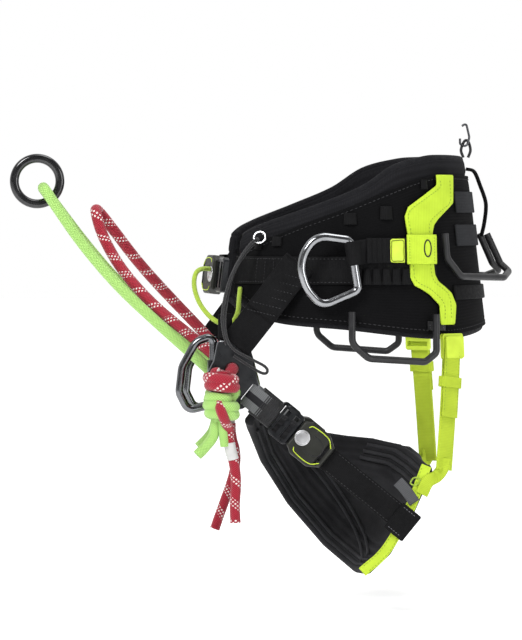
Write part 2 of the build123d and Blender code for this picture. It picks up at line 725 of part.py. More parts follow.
save("riser_left", riser_strap(1, (0, 0, 0)))
save("riser_right", riser_strap(-1, RIGHT_SHIFT))

with BuildPart() as riser_buckle:
    with BuildSketch(riser_plane.offset(-2)):
        with Locations((0, -16)):
            RectangleRounded(30, 26, 3)
        with Locations((0, -9.5), (0, -22)):
            Rectangle(RISER_WEB, 5, mode=Mode.SUBTRACT)
    extrude(amount=4)
save("riser_buckle_left", riser_buckle.part)
save("riser_buckle_right", twin(riser_buckle.part))

with BuildPart() as riser_lever:
    with BuildSketch(riser_plane.offset(2.4)):
        with Locations((0, -17)):
            RectangleRounded(26, 22, 2)
    extrude(amount=2.5)
save("riser_lever_left", riser_lever.part)
save("riser_lever_right", twin(riser_lever.part))
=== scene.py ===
import math

import bpy
import numpy as np
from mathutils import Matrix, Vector, geometry, noise


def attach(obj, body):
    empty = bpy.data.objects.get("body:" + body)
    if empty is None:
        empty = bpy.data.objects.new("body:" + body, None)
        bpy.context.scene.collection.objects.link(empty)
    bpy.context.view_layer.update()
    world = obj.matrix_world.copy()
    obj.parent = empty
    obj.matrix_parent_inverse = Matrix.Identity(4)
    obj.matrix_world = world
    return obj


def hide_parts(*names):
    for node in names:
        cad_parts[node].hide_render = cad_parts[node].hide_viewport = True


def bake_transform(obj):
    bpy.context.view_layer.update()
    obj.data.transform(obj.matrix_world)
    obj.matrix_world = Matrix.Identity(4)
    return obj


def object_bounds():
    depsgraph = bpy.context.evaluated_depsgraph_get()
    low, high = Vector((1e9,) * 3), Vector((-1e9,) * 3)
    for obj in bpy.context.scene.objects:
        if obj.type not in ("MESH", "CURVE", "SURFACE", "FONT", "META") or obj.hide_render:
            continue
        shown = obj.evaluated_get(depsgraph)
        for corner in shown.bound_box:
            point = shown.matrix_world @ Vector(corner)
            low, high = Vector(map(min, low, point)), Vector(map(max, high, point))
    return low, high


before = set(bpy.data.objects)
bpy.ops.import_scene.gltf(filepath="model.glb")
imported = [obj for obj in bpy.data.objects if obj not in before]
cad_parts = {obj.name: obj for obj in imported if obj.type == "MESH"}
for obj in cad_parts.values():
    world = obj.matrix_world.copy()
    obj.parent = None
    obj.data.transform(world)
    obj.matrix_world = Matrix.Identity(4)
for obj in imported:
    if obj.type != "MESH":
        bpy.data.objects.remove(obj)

cad_low, cad_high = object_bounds()
MM = 0.001
UP = np.array([0.0, 0.0, 1.0])
BEND = np.linspace(0, math.pi, 9)[1:-1]  # half a turn, without its ends

# The saddle in millimetres. The wearer faces -Y, the wearer's left is +X, and +Z is up.
WAIST_WIDE, WAIST_DEEP, WAIST_TAPER = 165.0, 138.0, 0.12
BELT_RADIUS = 150.0
LEG_ORIGIN = np.array([133.0, -117.0, -125.0])
RIGHT_SHIFT = np.array([0.0, 24.0, -9.0])
SIDES = (("left", 1, np.zeros(3)), ("right", -1, RIGHT_SHIFT))
ROPE_D, TAIL_D = 11.5, 10.5
CARRIERS, BRAID_PITCH, BRAID_DEPTH = 12, 12.5, 0.24
HIP_X = 130.0


# ---- small maths
def unit(v):
    v = np.asarray(v, float)
    return v / np.linalg.norm(v)


def units(v):
    v = np.asarray(v, float)
    return v / np.maximum(np.linalg.norm(v, axis=-1, keepdims=True), 1e-12)


def run_lengths(points):
    """The length run along a polyline at each of its points."""
    return np.concatenate([[0], np.cumsum(np.linalg.norm(np.diff(points, axis=0), axis=1))])


def together(*values):
    """The values as arrays of one shape."""
    return np.broadcast_arrays(*(np.asarray(value, float) for value in values))


def resample(points, step):
    """Points at even spacing along a polyline."""
    points = np.asarray(points, float)
    along = run_lengths(points)
    count = max(2, int(round(along[-1] / step)) + 1)
    at = np.linspace(0, along[-1], count)
    return np.stack([np.interp(at, along, points[:, k]) for k in range(points.shape[1])], 1)


def smooth_line(points, step=1.0):
    """A Catmull-Rom line through the points, at even spacing."""
    p = np.asarray(points, float)
    p = np.vstack([2 * p[0] - p[1], p, 2 * p[-1] - p[-2]])
    out = []
    for a, b, c, d in zip(p, p[1:], p[2:], p[3:]):
        for t in np.linspace(0, 1, 24, endpoint=False):
            out.append(0.5 * (2 * b + (c - a) * t + (2 * a - 5 * b + 4 * c - d) * t**2
                              + (3 * b - a - 3 * c + d) * t**3))
    out.append(p[-2])
    return resample(out, step)


def nurbs_line(points, step=0.8):
    """Points along the NURBS curve whose control points are a cord's route."""
    data = bpy.data.curves.new("route", "CURVE")
    data.dimensions = "3D"
    spline = data.splines.new("NURBS")
    spline.points.add(len(points) - 1)
    for place, point in zip(spline.points, points):
        place.co = (*point, 1)
    spline.order_u = 3
    spline.use_endpoint_u = True
    spline.resolution_u = 24
    holder = bpy.data.objects.new("route", data)
    bpy.context.scene.collection.objects.link(holder)
    bpy.context.view_layer.update()
    mesh = bpy.data.meshes.new_from_object(holder.evaluated_get(bpy.context.evaluated_depsgraph_get()))
    line = np.array([v.co[:] for v in mesh.vertices])
    bpy.data.objects.remove(holder)
    bpy.data.meshes.remove(mesh)
    return resample(line, step)


def frames_along(path):
    """Unit directions along a path, and two more that turn as little as they can."""
    tangent = units(np.gradient(path, axis=0))
    side = np.zeros_like(path)
    start = UP
    if abs(np.dot(start, tangent[0])) > 0.95:
        start = np.array([1.0, 0.0, 0.0])
    side[0] = unit(start - tangent[0] * np.dot(start, tangent[0]))
    for k in range(1, len(path)):
        side[k] = unit(side[k - 1] - tangent[k] * np.dot(side[k - 1], tangent[k]))
    return tangent, side, np.cross(tangent, side)


def quarter(share):
    """The height of a quarter circle, from 0 to 1, at a share of its width."""
    return math.sqrt(max(0.0, 1 - (1 - share) ** 2))


def flip(points, shift=(0, 0, 0)):
    """The right-hand twin of left-hand points."""
    points = np.array(points, float)
    points[..., 0] *= -1
    return points + np.asarray(shift, float)


def sided(k, *lines, shift=(0, 0, 0)):
    """Left-hand lines as they are where k is 1, or their right-hand twins where it is -1."""
    return [np.asarray(line, float) if k > 0 else flip(line, shift) for line in lines]


def stands_for(node=None):
    """Hides the CAD node that the object replaces, if one is given."""
    if node:
        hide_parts(node)


# ---- meshes
def mesh_object(name, points, faces, uvs, material, body):
    """An object from points in millimetres. uvs holds one pair for each corner of each face."""
    mesh = bpy.data.meshes.new(name)
    mesh.from_pydata((np.asarray(points, float) * MM).tolist(), [], faces)
    if uvs is not None:
        layer = mesh.uv_layers.new(name="UVMap")
        layer.data.foreach_set("uv", np.asarray(uvs, np.float32).ravel())
    mesh.polygons.foreach_set("use_smooth", [True] * len(mesh.polygons))
    mesh.validate()
    mesh.materials.append(material)
    made = bpy.data.objects.new(name, mesh)
    bpy.context.scene.collection.objects.link(made)
    if body:
        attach(made, body)
    return made


def grid_faces(rows, cols):
    """The faces of a tube of rings, and each corner's row and column. The last column meets the first."""
    r, c = np.meshgrid(np.arange(rows - 1), np.arange(cols), indexing="ij")
    n = (c + 1) % cols
    quads = np.stack([r * cols + c, r * cols + n, (r + 1) * cols + n, (r + 1) * cols + c], -1)
    corners = np.stack([np.stack(pair, -1) for pair in ((r, c), (r, c + 1), (r + 1, c + 1), (r + 1, c))], 2)
    return quads.reshape(-1, 4), corners.reshape(-1, 2)


def sweep_mesh(name, rings, along, around, material, body):
    """A closed tube of rings (rows, cols, 3). along and around are UV values in metres."""
    rows, cols, _ = rings.shape
    quads, corners = grid_faces(rows, cols)
    u = np.asarray(along, float)[corners[:, 0]]
    v = np.asarray(around, float)[corners[:, 1]]
    uvs = np.stack([u, v], 1)
    faces = quads.tolist()
    points = rings.reshape(-1, 3)
    faces += [list(range(cols))[::-1], list(range((rows - 1) * cols, rows * cols))]
    uvs = np.vstack([uvs, np.zeros((2 * cols, 2)) + [along[0], 0]])
    return mesh_object(name, points, faces, uvs, material, body)


def tube(name, path, radius, material, body, around=12, relief=None):
    """A round tube along a path in millimetres. relief(along_mm, turn) adds to its radius."""
    path = np.asarray(path, float)
    _, side, third = frames_along(path)
    runs = run_lengths(path)
    turn = np.arange(around) / around
    radii = np.broadcast_to(np.asarray(radius, float), (len(path),))[:, None] + np.zeros((1, around))
    if relief is not None:
        radii = radii + relief(runs[:, None], turn[None, :])
    angle = 2 * math.pi * turn
    spokes = side[:, None, :] * np.cos(angle)[None, :, None] + third[:, None, :] * np.sin(angle)[None, :, None]
    rings = path[:, None, :] + radii[..., None] * spokes
    return sweep_mesh(name, rings, runs * MM, np.arange(around + 1) / around, material, body)


def strap_section(width, thick):
    """A flat strap's section with round edges, as (across, out) pairs."""
    r = thick / 2
    flat = width / 2 - r
    bend = np.linspace(0, math.pi, 5)[1:-1]
    top = [(x, r) for x in np.linspace(-flat, flat, 14)]
    right = [(flat + r * math.sin(a), r * math.cos(a)) for a in bend]
    return np.array(top + right + [(-x, -y) for x, y in top] + [(-x, -y) for x, y in right])


def strap(name, centres, out, width, thick, material, body, relief=None):
    """Webbing along centres (n, 3), facing out (n, 3). width may be one number or one for each centre."""
    centres = np.asarray(centres, float)
    out = np.broadcast_to(np.asarray(out, float), centres.shape)
    tangent = units(np.gradient(centres, axis=0))
    across = units(np.cross(out, tangent))
    normal = units(np.cross(tangent, across))
    widths = np.broadcast_to(np.asarray(width, float), (len(centres),))
    runs = run_lengths(centres)
    rings = []
    for k in range(len(centres)):
        section = strap_section(widths[k], thick)
        lift = section[:, 1].copy()
        if relief is not None:
            lift = lift + relief(runs[k], section[:, 0]) * (section[:, 1] > 0)
        rings.append(centres[k] + across[k] * section[:, :1] + normal[k] * lift[:, None])
    around = strap_section(widths[0], thick)[:, 0] * MM
    return sweep_mesh(name, np.array(rings), runs * MM, np.append(around, around[0]), material, body)


def outline_distance(points, outline):
    """The distance from each 2-D point to a closed outline."""
    a = np.asarray(outline, float)
    b = np.roll(a, -1, 0)
    ab = b - a
    best = np.full(len(points), 1e9)
    for start, way in zip(a, ab):
        t = np.clip(((points - start) @ way) / max(way @ way, 1e-12), 0, 1)
        best = np.minimum(best, np.linalg.norm(points - (start + t[:, None] * way), axis=1))
    return best


def inside(points, outline):
    """True for each 2-D point that is inside a closed outline."""
    a = np.asarray(outline, float)
    b = np.roll(a, -1, 0)
    x, y = points[:, 0], points[:, 1]
    hit = np.zeros(len(points), bool)
    for (x1, y1), (x2, y2) in zip(a, b):
        if y1 == y2:
            continue
        cross = ((y1 > y) != (y2 > y)) & (x < (x2 - x1) * (y - y1) / (y2 - y1) + x1)
        hit ^= cross
    return hit


def slab(name, outline, place, thick, material, body, step=2.5, rim=1.0):
    """A piece with an outline in (a, b), laid on a surface where place(a, b, height) says, in millimetres."""
    outline = np.asarray(outline, float)
    closed = resample(np.vstack([outline, outline[:1]]), step)[:-1]
    tangent = units(np.roll(closed, -1, 0) - np.roll(closed, 1, 0))
    inward = np.stack([-tangent[:, 1], tangent[:, 0]], 1)
    if not inside(closed + inward * 0.05, outline).mean() > 0.5:
        inward = -inward
    extra = []
    for inset in (rim * 0.15, rim * 0.5, rim):
        shifted = closed + inward * inset
        keep = inside(shifted, outline) & (outline_distance(shifted, outline) > inset * 0.93)
        extra.append(shifted[keep])
    low, high = outline.min(0), outline.max(0)
    a, b = np.meshgrid(np.arange(low[0], high[0], step), np.arange(low[1], high[1], step))
    interior = np.stack([a.ravel(), b.ravel()], 1)
    interior = interior[inside(interior, outline)]
    interior = interior[outline_distance(interior, outline) > rim + step * 0.45]
    points = np.vstack([closed, *extra, interior])
    loop = [(k, (k + 1) % len(closed)) for k in range(len(closed))]
    found = geometry.delaunay_2d_cdt([Vector(p) for p in points], loop, [], 1, 1e-5)
    flat = np.array([v[:] for v in found[0]])
    faces = [list(f) for f in found[2]]
    depth = outline_distance(flat, outline)
    on_rim = depth < 1e-3
    bulge = np.sqrt(np.clip(1 - (1 - np.clip(depth / rim, 0, 1)) ** 2, 0, 1))
    upper = place(flat[:, 0], flat[:, 1], thick * bulge)
    lower = place(flat[:, 0], flat[:, 1], 0 * bulge)
    count = len(flat)
    order = np.where(on_rim, np.arange(count), np.arange(count) + count)
    all_points = np.vstack([upper, lower])
    all_faces = faces + [[int(order[k]) for k in reversed(f)] for f in faces]
    uv = np.vstack([flat, flat]) * MM
    uvs = np.array([uv[k] for f in all_faces for k in f])
    made = mesh_object(name, all_points, all_faces, uvs, material, body)
    if upper_down(made, place, flat):
        made.data.flip_normals()
    return made


def upper_down(made, place, flat):
    """True if the slab's faces are wound inwards."""
    mesh = made.data
    middle = flat.mean(0, keepdims=True)
    near = flat[np.argmin(np.linalg.norm(flat - middle, axis=1))][None, :]
    out = place(near[:, 0], near[:, 1], np.array([1.0])) - place(near[:, 0], near[:, 1], np.array([0.0]))
    votes = sum(np.dot(np.array(p.normal[:]), out[0]) for p in list(mesh.polygons)[: len(mesh.polygons) // 2])
    return votes < 0


THREAD_SINK = 0.12


def stitches(name, path, out, material, body, length, gap, radius):
    """A row of thread stitches along a path, standing just proud of the cloth."""
    path = np.asarray(path, float)
    runs = run_lengths(path)
    out = np.broadcast_to(np.asarray(out, float), path.shape)
    starts = np.arange(gap / 2, runs[-1] - length, length + gap)
    if not len(starts):
        return None
    points, faces, around, slices = [], [], 6, 5
    quads, _ = grid_faces(slices, around)
    for start in starts:
        at = start + np.linspace(0, length, slices)
        line = np.stack([np.interp(at, runs, path[:, k]) for k in range(3)], 1)
        normal = units(np.stack([np.interp(at, runs, out[:, k]) for k in range(3)], 1))
        tangent = units(np.gradient(line, axis=0))
        side = units(np.cross(tangent, normal))
        arch = np.sin(np.linspace(0, math.pi, slices))
        fat = radius * np.sqrt(np.clip(arch, 0.12, 1))
        centre = line + normal * (radius * 0.9 * arch - THREAD_SINK - radius * 0.3)[:, None]
        base = len(points)
        for k in range(slices):
            for turn in np.arange(around) / around * 2 * math.pi:
                points.append(centre[k] + fat[k] * (side[k] * math.cos(turn) + normal[k] * math.sin(turn)))
        faces += (quads + base).tolist()
        faces.append([base + c for c in range(around)][::-1])
        faces.append([base + (slices - 1) * around + c for c in range(around)])
    return mesh_object(name, points, faces, None, material, body)


# ---- materials
class Nodes:
    """A material's node tree, with short calls for the nodes that it is made of."""

    def __init__(self, name):
        self.material = bpy.data.materials.new(name)
        self.material.use_nodes = True
        self.tree = self.material.node_tree
        self.shader = self.tree.nodes["Principled BSDF"]

    def new(self, kind, **values):
        node = self.tree.nodes.new(kind)
        for key, value in values.items():
            setattr(node, key, value)
        return node

    def link(self, out, to):
        self.tree.links.new(out, to)

    def put(self, socket, value):
        if isinstance(value, (int, float)):
            socket.default_value = value
        else:
            self.link(value, socket)

    def math(self, operation, a, b=0.0, clamp=False):
        node = self.new("ShaderNodeMath", operation=operation, use_clamp=clamp)
        self.put(node.inputs[0], a)
        self.put(node.inputs[1], b)
        return node.outputs[0]

    def times(self, a, b, clamp=False):
        return self.math("MULTIPLY", a, b, clamp)

    def plus(self, a, b):
        return self.math("ADD", a, b)

    def uv(self):
        parts = self.new("ShaderNodeSeparateXYZ")
        self.link(self.new("ShaderNodeUVMap", uv_map="UVMap").outputs[0], parts.inputs[0])
        return parts.outputs[0], parts.outputs[1]

    def place(self):
        return self.new("ShaderNodeTexCoord").outputs["Object"]

    def noise(self, scale, detail=3.0):
        node = self.new("ShaderNodeTexNoise")
        node.inputs["Scale"].default_value = scale
        node.inputs["Detail"].default_value = detail
        self.link(self.place(), node.inputs["Vector"])
        return node.outputs["Fac"]

    def mix(self, factor, a, b):
        node = self.new("ShaderNodeMix", data_type="RGBA")
        self.put(node.inputs[0], factor)
        for socket, value in ((node.inputs[6], a), (node.inputs[7], b)):
            if isinstance(value, (list, tuple)):
                socket.default_value = (*value, 1)
            else:
                self.link(value, socket)
        return node.outputs[2]

    def spread(self, value, low, high):
        node = self.new("ShaderNodeMapRange")
        self.link(value, node.inputs[0])
        node.inputs["From Min"].default_value = 0.3
        node.inputs["From Max"].default_value = 0.7
        node.inputs["To Min"].default_value = low
        node.inputs["To Max"].default_value = high
        return node.outputs[0]

    def bump(self, height, strength, distance):
        node = self.new("ShaderNodeBump")
        node.inputs["Strength"].default_value = strength
        node.inputs["Distance"].default_value = distance
        self.link(height, node.inputs["Height"])
        self.link(node.outputs[0], self.shader.inputs["Normal"])

    def set(self, **values):
        """Gives the shader's values, by the short names here."""
        names = {"color": "Base Color", "metal": "Metallic", "rough": "Roughness", "sheen": "Sheen Weight",
                 "specular": "Specular IOR Level", "coat": "Coat Weight"}
        for key, value in values.items():
            socket = self.shader.inputs[names[key]]
            if isinstance(value, (list, tuple)):
                socket.default_value = (*value, 1)
            else:
                self.put(socket, value)


def brighter(color, lift):
    """The colour where the surface is rubbed."""
    return [min(1, c * 1.5 + lift) for c in color]


def wave(n, value, period):
    """A sine wave between 0 and 1 over a length."""
    turn = n.plus(n.times(value, 2 * math.pi / period), 0.0)
    return n.times(n.plus(n.math("SINE", turn), 1.0), 0.5)


def webbing_material(name, color, dark, rib=0.0017, strength=0.55, stripe=0.0):
    """Woven webbing: ribs across it, yarns along it, and a dark stripe of that half width down its middle."""
    n = Nodes(name)
    along, across = n.uv()
    ribs = wave(n, along, rib)
    yarns = wave(n, n.plus(across, n.times(along, 0.55)), 0.0011)
    height = n.plus(n.times(ribs, 0.6), n.times(yarns, 0.4))
    wear = n.spread(n.noise(60, 4), 0.0, 1.0)
    shade = n.mix(n.times(height, 0.75, True), dark, color)
    shade = n.mix(n.times(wear, 0.18), shade, brighter(color, 0.004))
    if stripe:
        shade = n.mix(n.math("LESS_THAN", n.math("ABSOLUTE", across), stripe), shade, (0.015, 0.015, 0.017))
    n.set(color=shade, rough=n.spread(n.noise(300), 0.62, 0.8), sheen=0.0, specular=0.08)
    n.bump(height, strength, 0.0004)
    return n.material


def cloth_material(name, color, light, weave, strength):
    """A plain woven cloth in UV metres, with a soft mottle."""
    n = Nodes(name)
    along, across = n.uv()
    height = n.times(wave(n, along, weave), wave(n, across, weave))
    shade = n.mix(n.times(height, 0.8), color, light)
    shade = n.mix(n.spread(n.noise(26, 4), 0.0, 0.35), shade, light)
    n.set(color=shade, rough=0.85, sheen=0.0, specular=0.05)
    n.bump(n.plus(height, n.times(n.noise(180, 2), 0.6)), strength, 0.0004)
    return n.material


def foam_material(name, color, light):
    """Moulded foam with a fine knitted face."""
    n = Nodes(name)
    cells = n.new("ShaderNodeTexVoronoi")
    cells.inputs["Scale"].default_value = 620
    n.link(n.place(), cells.inputs["Vector"])
    height = n.math("SUBTRACT", 1.0, cells.outputs["Distance"])
    shade = n.mix(n.spread(n.noise(30, 4), 0.1, 0.8), color, light)
    n.set(color=shade, rough=0.92, sheen=0.03, specular=0.12)
    n.bump(height, 0.35, 0.0005)
    return n.material


def metal_material(name, color, rough, metal=1.0, coat=0.0):
    """Metal with fine scratches and slightly uneven gloss."""
    n = Nodes(name)
    marks, fine = n.noise(120, 6), n.noise(1080, 2)
    shade = n.mix(n.spread(marks, 0.0, 0.32), color, brighter(color, 0.03))
    n.set(color=shade, metal=metal, rough=n.spread(marks, rough * 0.8, rough * 1.35), coat=coat)
    n.bump(n.plus(marks, fine), 0.05, 0.0003)
    return n.material


def plastic_material(name, color, rough=0.5, grain=900, strength=0.12):
    """Moulded plastic with a fine grain and rubbed marks."""
    n = Nodes(name)
    shade = n.mix(n.spread(n.noise(70, 5), 0.0, 0.4), color, brighter(color, 0.012))
    n.set(color=shade, rough=n.spread(n.noise(220, 3), rough * 0.85, rough * 1.2), specular=0.28)
    n.bump(n.noise(grain, 3), strength, 0.0003)
    return n.material


def rope_material(name, color, dark, fleck=None, pitch=BRAID_PITCH * MM):
    """A braided rope: two families of strands that wind opposite ways. u is along it and v is one turn."""
    n = Nodes(name)
    along, turn = n.uv()
    step = n.times(along, CARRIERS / (pitch * 2))
    ring = n.times(turn, float(CARRIERS))
    right = n.plus(step, ring)
    left = n.math("SUBTRACT", step, ring)
    a = n.math("ABSOLUTE", n.math("SINE", n.times(right, math.pi)))
    b = n.math("ABSOLUTE", n.math("SINE", n.times(left, math.pi)))
    height = n.times(a, b)
    shade = n.mix(n.times(height, 1.5, True), dark, color)
    if fleck:
        odd = n.math("LESS_THAN", n.math("FLOORED_MODULO", n.math("FLOOR", right), 2.0), 0.5)
        face = n.math("LESS_THAN", n.math("FLOORED_MODULO", n.math("FLOOR", left), 2.0), 0.5)
        band = n.plus(n.times(along, 1 / 0.024), n.times(turn, 1.0))
        patch = n.math("LESS_THAN", n.math("FLOORED_MODULO", band, 1.0), 0.36)
        dots = n.times(n.times(odd, face), patch)
        shade = n.mix(n.times(dots, 0.92), shade, fleck)
    n.set(color=shade, rough=0.72, sheen=0.2, specular=0.3)
    n.bump(height, 0.6, 0.0006)
    return n.material


BLACK = webbing_material("black webbing", (0.0062, 0.0062, 0.0068), (0.0025, 0.0025, 0.0028))
GREY_TAB = webbing_material("grey tab", (0.085, 0.087, 0.092), (0.05, 0.051, 0.054))
GREY = webbing_material("grey webbing", (0.15, 0.155, 0.16), (0.07, 0.072, 0.075), stripe=0.0036)
LIME = webbing_material("lime webbing", (0.47, 0.63, 0.045), (0.33, 0.46, 0.03), 0.0018, 0.35)
LIME_RISER = webbing_material("lime riser webbing", (0.39, 0.50, 0.036), (0.27, 0.36, 0.025), 0.0016, 0.35)
LIME_TAPE = webbing_material("lime tape", (0.46, 0.60, 0.045), (0.32, 0.44, 0.03), 0.0013, 0.4)
BIND = webbing_material("edge binding", (0.012, 0.012, 0.014), (0.004, 0.004, 0.005), 0.0012)
COVER = cloth_material("black cover cloth", (0.0028, 0.0028, 0.0031), (0.0052, 0.0052, 0.0058), 0.0006, 0.3)
KNIT = cloth_material("knitted lining", (0.007, 0.007, 0.008), (0.016, 0.016, 0.018), 0.0021, 0.6)
PANEL = cloth_material("ribbed panel", (0.016, 0.0165, 0.018), (0.034, 0.035, 0.038), 0.0016, 0.6)
RIB = foam_material("moulded rib", (0.012, 0.012, 0.0135), (0.030, 0.030, 0.033))
FOAM = foam_material("moulded foam", (0.008, 0.008, 0.009), (0.020, 0.020, 0.022))
ALLOY = metal_material("polished alloy", (0.22, 0.225, 0.235), 0.15)
BLACK_ALLOY = metal_material("black anodised ring", (0.012, 0.012, 0.013), 0.16, metal=0.6, coat=0.5)
DARK_ALLOY = metal_material("black anodised alloy", (0.014, 0.015, 0.017), 0.3, metal=0.7)
GREY_ALLOY = metal_material("dark grey alloy", (0.12, 0.123, 0.13), 0.17)
STEEL = metal_material("bright wire", (0.55, 0.56, 0.58), 0.2)
DARK_WIRE = metal_material("dark wire", (0.06, 0.062, 0.066), 0.3)
SILVER = metal_material("satin button", (0.50, 0.50, 0.51), 0.36)
OLIVE = plastic_material("dark olive plastic", (0.009, 0.0095, 0.007), 0.42)
BLACK_PLASTIC = plastic_material("black plastic", (0.008, 0.008, 0.009), 0.4)
LIME_PLASTIC = plastic_material("lime plastic", (0.40, 0.52, 0.03), 0.4)
RUBBER = plastic_material("black rubber", (0.009, 0.009, 0.010), 0.7, 500, 0.2)
THREAD_DARK = plastic_material("black thread", (0.018, 0.018, 0.020), 0.75)
THREAD_GREY = plastic_material("grey thread", (0.10, 0.10, 0.11), 0.75)
THREAD_LIME = plastic_material("lime thread", (0.17, 0.25, 0.02), 0.7)
WHITE_TAPE = plastic_material("white tape", (0.42, 0.42, 0.41), 0.55)
# Painted shadow: a near-black colour for thin lines that stand for the shade in grooves.
SEAM_SHADOW = plastic_material("seam shadow", (0.004, 0.004, 0.005), 0.9)
RED = (0.36, 0.006, 0.025), (0.15, 0.002, 0.009)
RED_PLAIN = rope_material("red rope cover without tracer", *RED)
RED_ROPE = rope_material("red rope cover", *RED, fleck=(0.70, 0.64, 0.62))
GREEN_ROPE = rope_material("green rope cover", (0.36, 0.60, 0.16), (0.20, 0.38, 0.08))
ELASTIC = rope_material("elastic cover", (0.014, 0.014, 0.016), (0.004, 0.004, 0.005), pitch=0.004)
LIME_CORD = rope_material("lime cord cover", (0.40, 0.56, 0.04), (0.22, 0.33, 0.02), pitch=0.006)


# ---- waist belt surface
def belt_radii(level, off):
    """The belt's half width and half depth at a height, a little way off its surface."""
    return WAIST_WIDE - WAIST_TAPER * level + off, WAIST_DEEP - WAIST_TAPER * level + off


def belt(angle, level, off=0.0):
    """Points on the belt. The angle, in degrees, runs from the middle of the back to the wearer's left."""
    angle, level, off = together(angle, level, off)
    wide, deep = belt_radii(level, off)
    turn = np.radians(angle)
    return np.stack([wide * np.sin(turn), deep * np.cos(turn), level + 0 * turn], -1)


def belt_out(angle, level=0.0):
    """The way that the belt faces."""
    angle, level = together(angle, level)
    wide, deep = belt_radii(level, 0)
    turn = np.radians(angle)
    x, y = np.sin(turn) / wide, np.cos(turn) / deep
    return units(np.stack([x, y, WAIST_TAPER * np.hypot(x, y)], -1))


def belt_angle(y, level=0.0):
    """The left-hand angle at which the belt passes a place along Y."""
    _, deep = belt_radii(level, 0.0)
    return np.degrees(np.arccos(np.clip(np.asarray(y, float) / deep, -1, 1)))


def on_left(off):
    """A way to lay an outline, seen from the left as (y, z), on the belt's left side."""
    def place(y, z, height):
        y, z, height = together(y, z, height)
        wide, deep = belt_radii(z, off + height)
        return np.stack([wide * np.sqrt(np.clip(1 - (y / deep) ** 2, 0.0004, 1)), y, z], -1)
    return place


def on_right(off):
    """The same for the belt's right side."""
    left = on_left(off)
    return lambda y, z, height: flip(left(y, z, height))


def wrinkle(points, scale, size, seed=0.0):
    """A smooth uneven lift at each point, in millimetres."""
    return np.array([noise.noise(Vector(p) * scale + Vector((seed, seed * 2, 0))) for p in points]) * size


PAD_TOP = [(-125, 20), (-112, 37), (-91, 48), (-45, 65), (0, 83), (35, 104), (70, 113), (96, 115), (150, 114)]
PAD_LOW = [(-125, -22), (-118, -28), (-85, -50), (-15, -58), (80, -68), (150, -57)]
SHELL_TOP = [(-121, 10), (-108, 24), (-65, 45), (-20, 62), (35, 83), (70, 94), (96, 97), (150, 96)]
SHELL_LOW = [(-121, -24), (-115, -28), (-85, -48), (-15, -56), (80, -66), (150, -55)]


def level_at(line, y):
    """The height of a rim of the belt at a place along Y."""
    fine = smooth_line(line, 2.0)
    return np.interp(y, fine[:, 0], fine[:, 1])


def belt_ring(name, top, low, inner, outer, ends, material, body, rim, lift):
    """A belt layer with round rims, as a closed section carried round the waist between +-ends degrees."""
    angles = np.linspace(-ends, ends, 300)
    rings = []
    half = (outer - inner) / 2
    for angle in angles:
        y = belt(angle, 20, (inner + outer) / 2)[1]
        z1, z0 = level_at(top, y), level_at(low, y)
        fade = min(1.0, (ends - abs(angle)) / 2.2)
        full = quarter(fade)
        z1, z0 = z1 - (1 - full) * rim, z0 + (1 - full) * rim
        up = np.linspace(z0 + rim, z1 - rim, 40)
        outer_line = np.stack([up, np.full(len(up), outer)], 1)
        over = np.stack([z1 - rim + rim * np.sin(BEND), inner + half + half * np.cos(BEND)], 1)
        inner_line = np.stack([up[::-1], np.full(len(up), inner)], 1)
        under = np.stack([z0 + rim - rim * np.sin(BEND), inner + half - half * np.cos(BEND)], 1)
        section = np.vstack([outer_line, over, inner_line, under])
        offs = section[:, 1] + lift(angle, section[:, 0], section[:, 1] > inner + half, z0, z1)
        offs = (inner + half) + (offs - inner - half) * max(0.12, full)
        rings.append(belt(np.full(len(section), angle), section[:, 0], offs))
    length = np.radians(angles - angles[0]) * BELT_RADIUS * MM
    return sweep_mesh(name, np.array(rings), length, np.append(run_lengths(section), 0) * MM, material, body)


def groove(level, at, wide):
    """A seam's depth, as a share, at each height."""
    return np.exp(-((level - at) / wide) ** 2)


def pad_lift(angle, level, outside, low, high):
    """Quilted foam: a soft bulge between seams, on both faces."""
    place = np.stack([np.full_like(level, angle * 2.6), level, np.zeros_like(level)], 1)
    soft = wrinkle(place, 0.016, 1.3)
    seam = groove(level, high - 18, 2.2) * 1.5 + groove(level, low + 14, 2.2) * 1.3
    inner_seams = groove(level, (high + low) / 2, 2.4) * 1.6
    fade = np.clip(np.minimum(level - low, high - level) / 12, 0, 1)
    return np.where(outside, (soft - seam) * fade, (-soft + seam + inner_seams) * fade)


belt_pad = belt_ring("belt_foam_body", PAD_TOP, PAD_LOW, -12.6, -2.6, 155, KNIT, "saddle", 4.8, pad_lift)
stands_for("waist_pad")


def shell_lift(angle, level, outside, low, high):
    """The cover's uneven cloth, with a seam near each rim."""
    place = np.stack([np.full_like(level, angle * 2.6), level, np.full_like(level, 5.0)], 1)
    soft = wrinkle(place, 0.02, 0.9) + wrinkle(place, 0.06, 0.25, 3.0)
    seam = groove(level, high - 5, 1.2) * 0.5 + groove(level, low + 5, 1.2) * 0.5
    fade = np.clip(np.minimum(level - low, high - level) / 8, 0, 1)
    return (soft * 0.5 - 0.3) * fade - np.where(outside, seam, 0)


cover = belt_ring("belt_cover", SHELL_TOP, SHELL_LOW, -2.3, 0.0, 154, COVER, "saddle", 1.1, shell_lift)
stands_for("belt_shell")


def rim_line(line, off, ends, drop):
    """Points along a rim of the belt."""
    angles = np.linspace(-ends, ends, 260)
    y = belt(angles, 20, off)[:, 1]
    return angles, belt(angles, level_at(line, y) + drop, off)


for name, line, drop in (("upper_binding", PAD_TOP, -1.6), ("lower_binding", PAD_LOW, 1.6)):
    angles, rim = rim_line(line, -7.4, 153, drop)
    tube(name, rim, 4.3, BIND, "saddle", 14, lambda u, t: 0.25 * np.cos(2 * math.pi * t * 2))
for name, line, drop in (("upper_stitch", SHELL_TOP, -4.0), ("lower_stitch", SHELL_LOW, 4.0)):
    angles, rim = rim_line(line, -0.35, 150, drop)
    stitches(name, rim, belt_out(angles), THREAD_DARK, "saddle", 3.4, 1.6, 0.4)

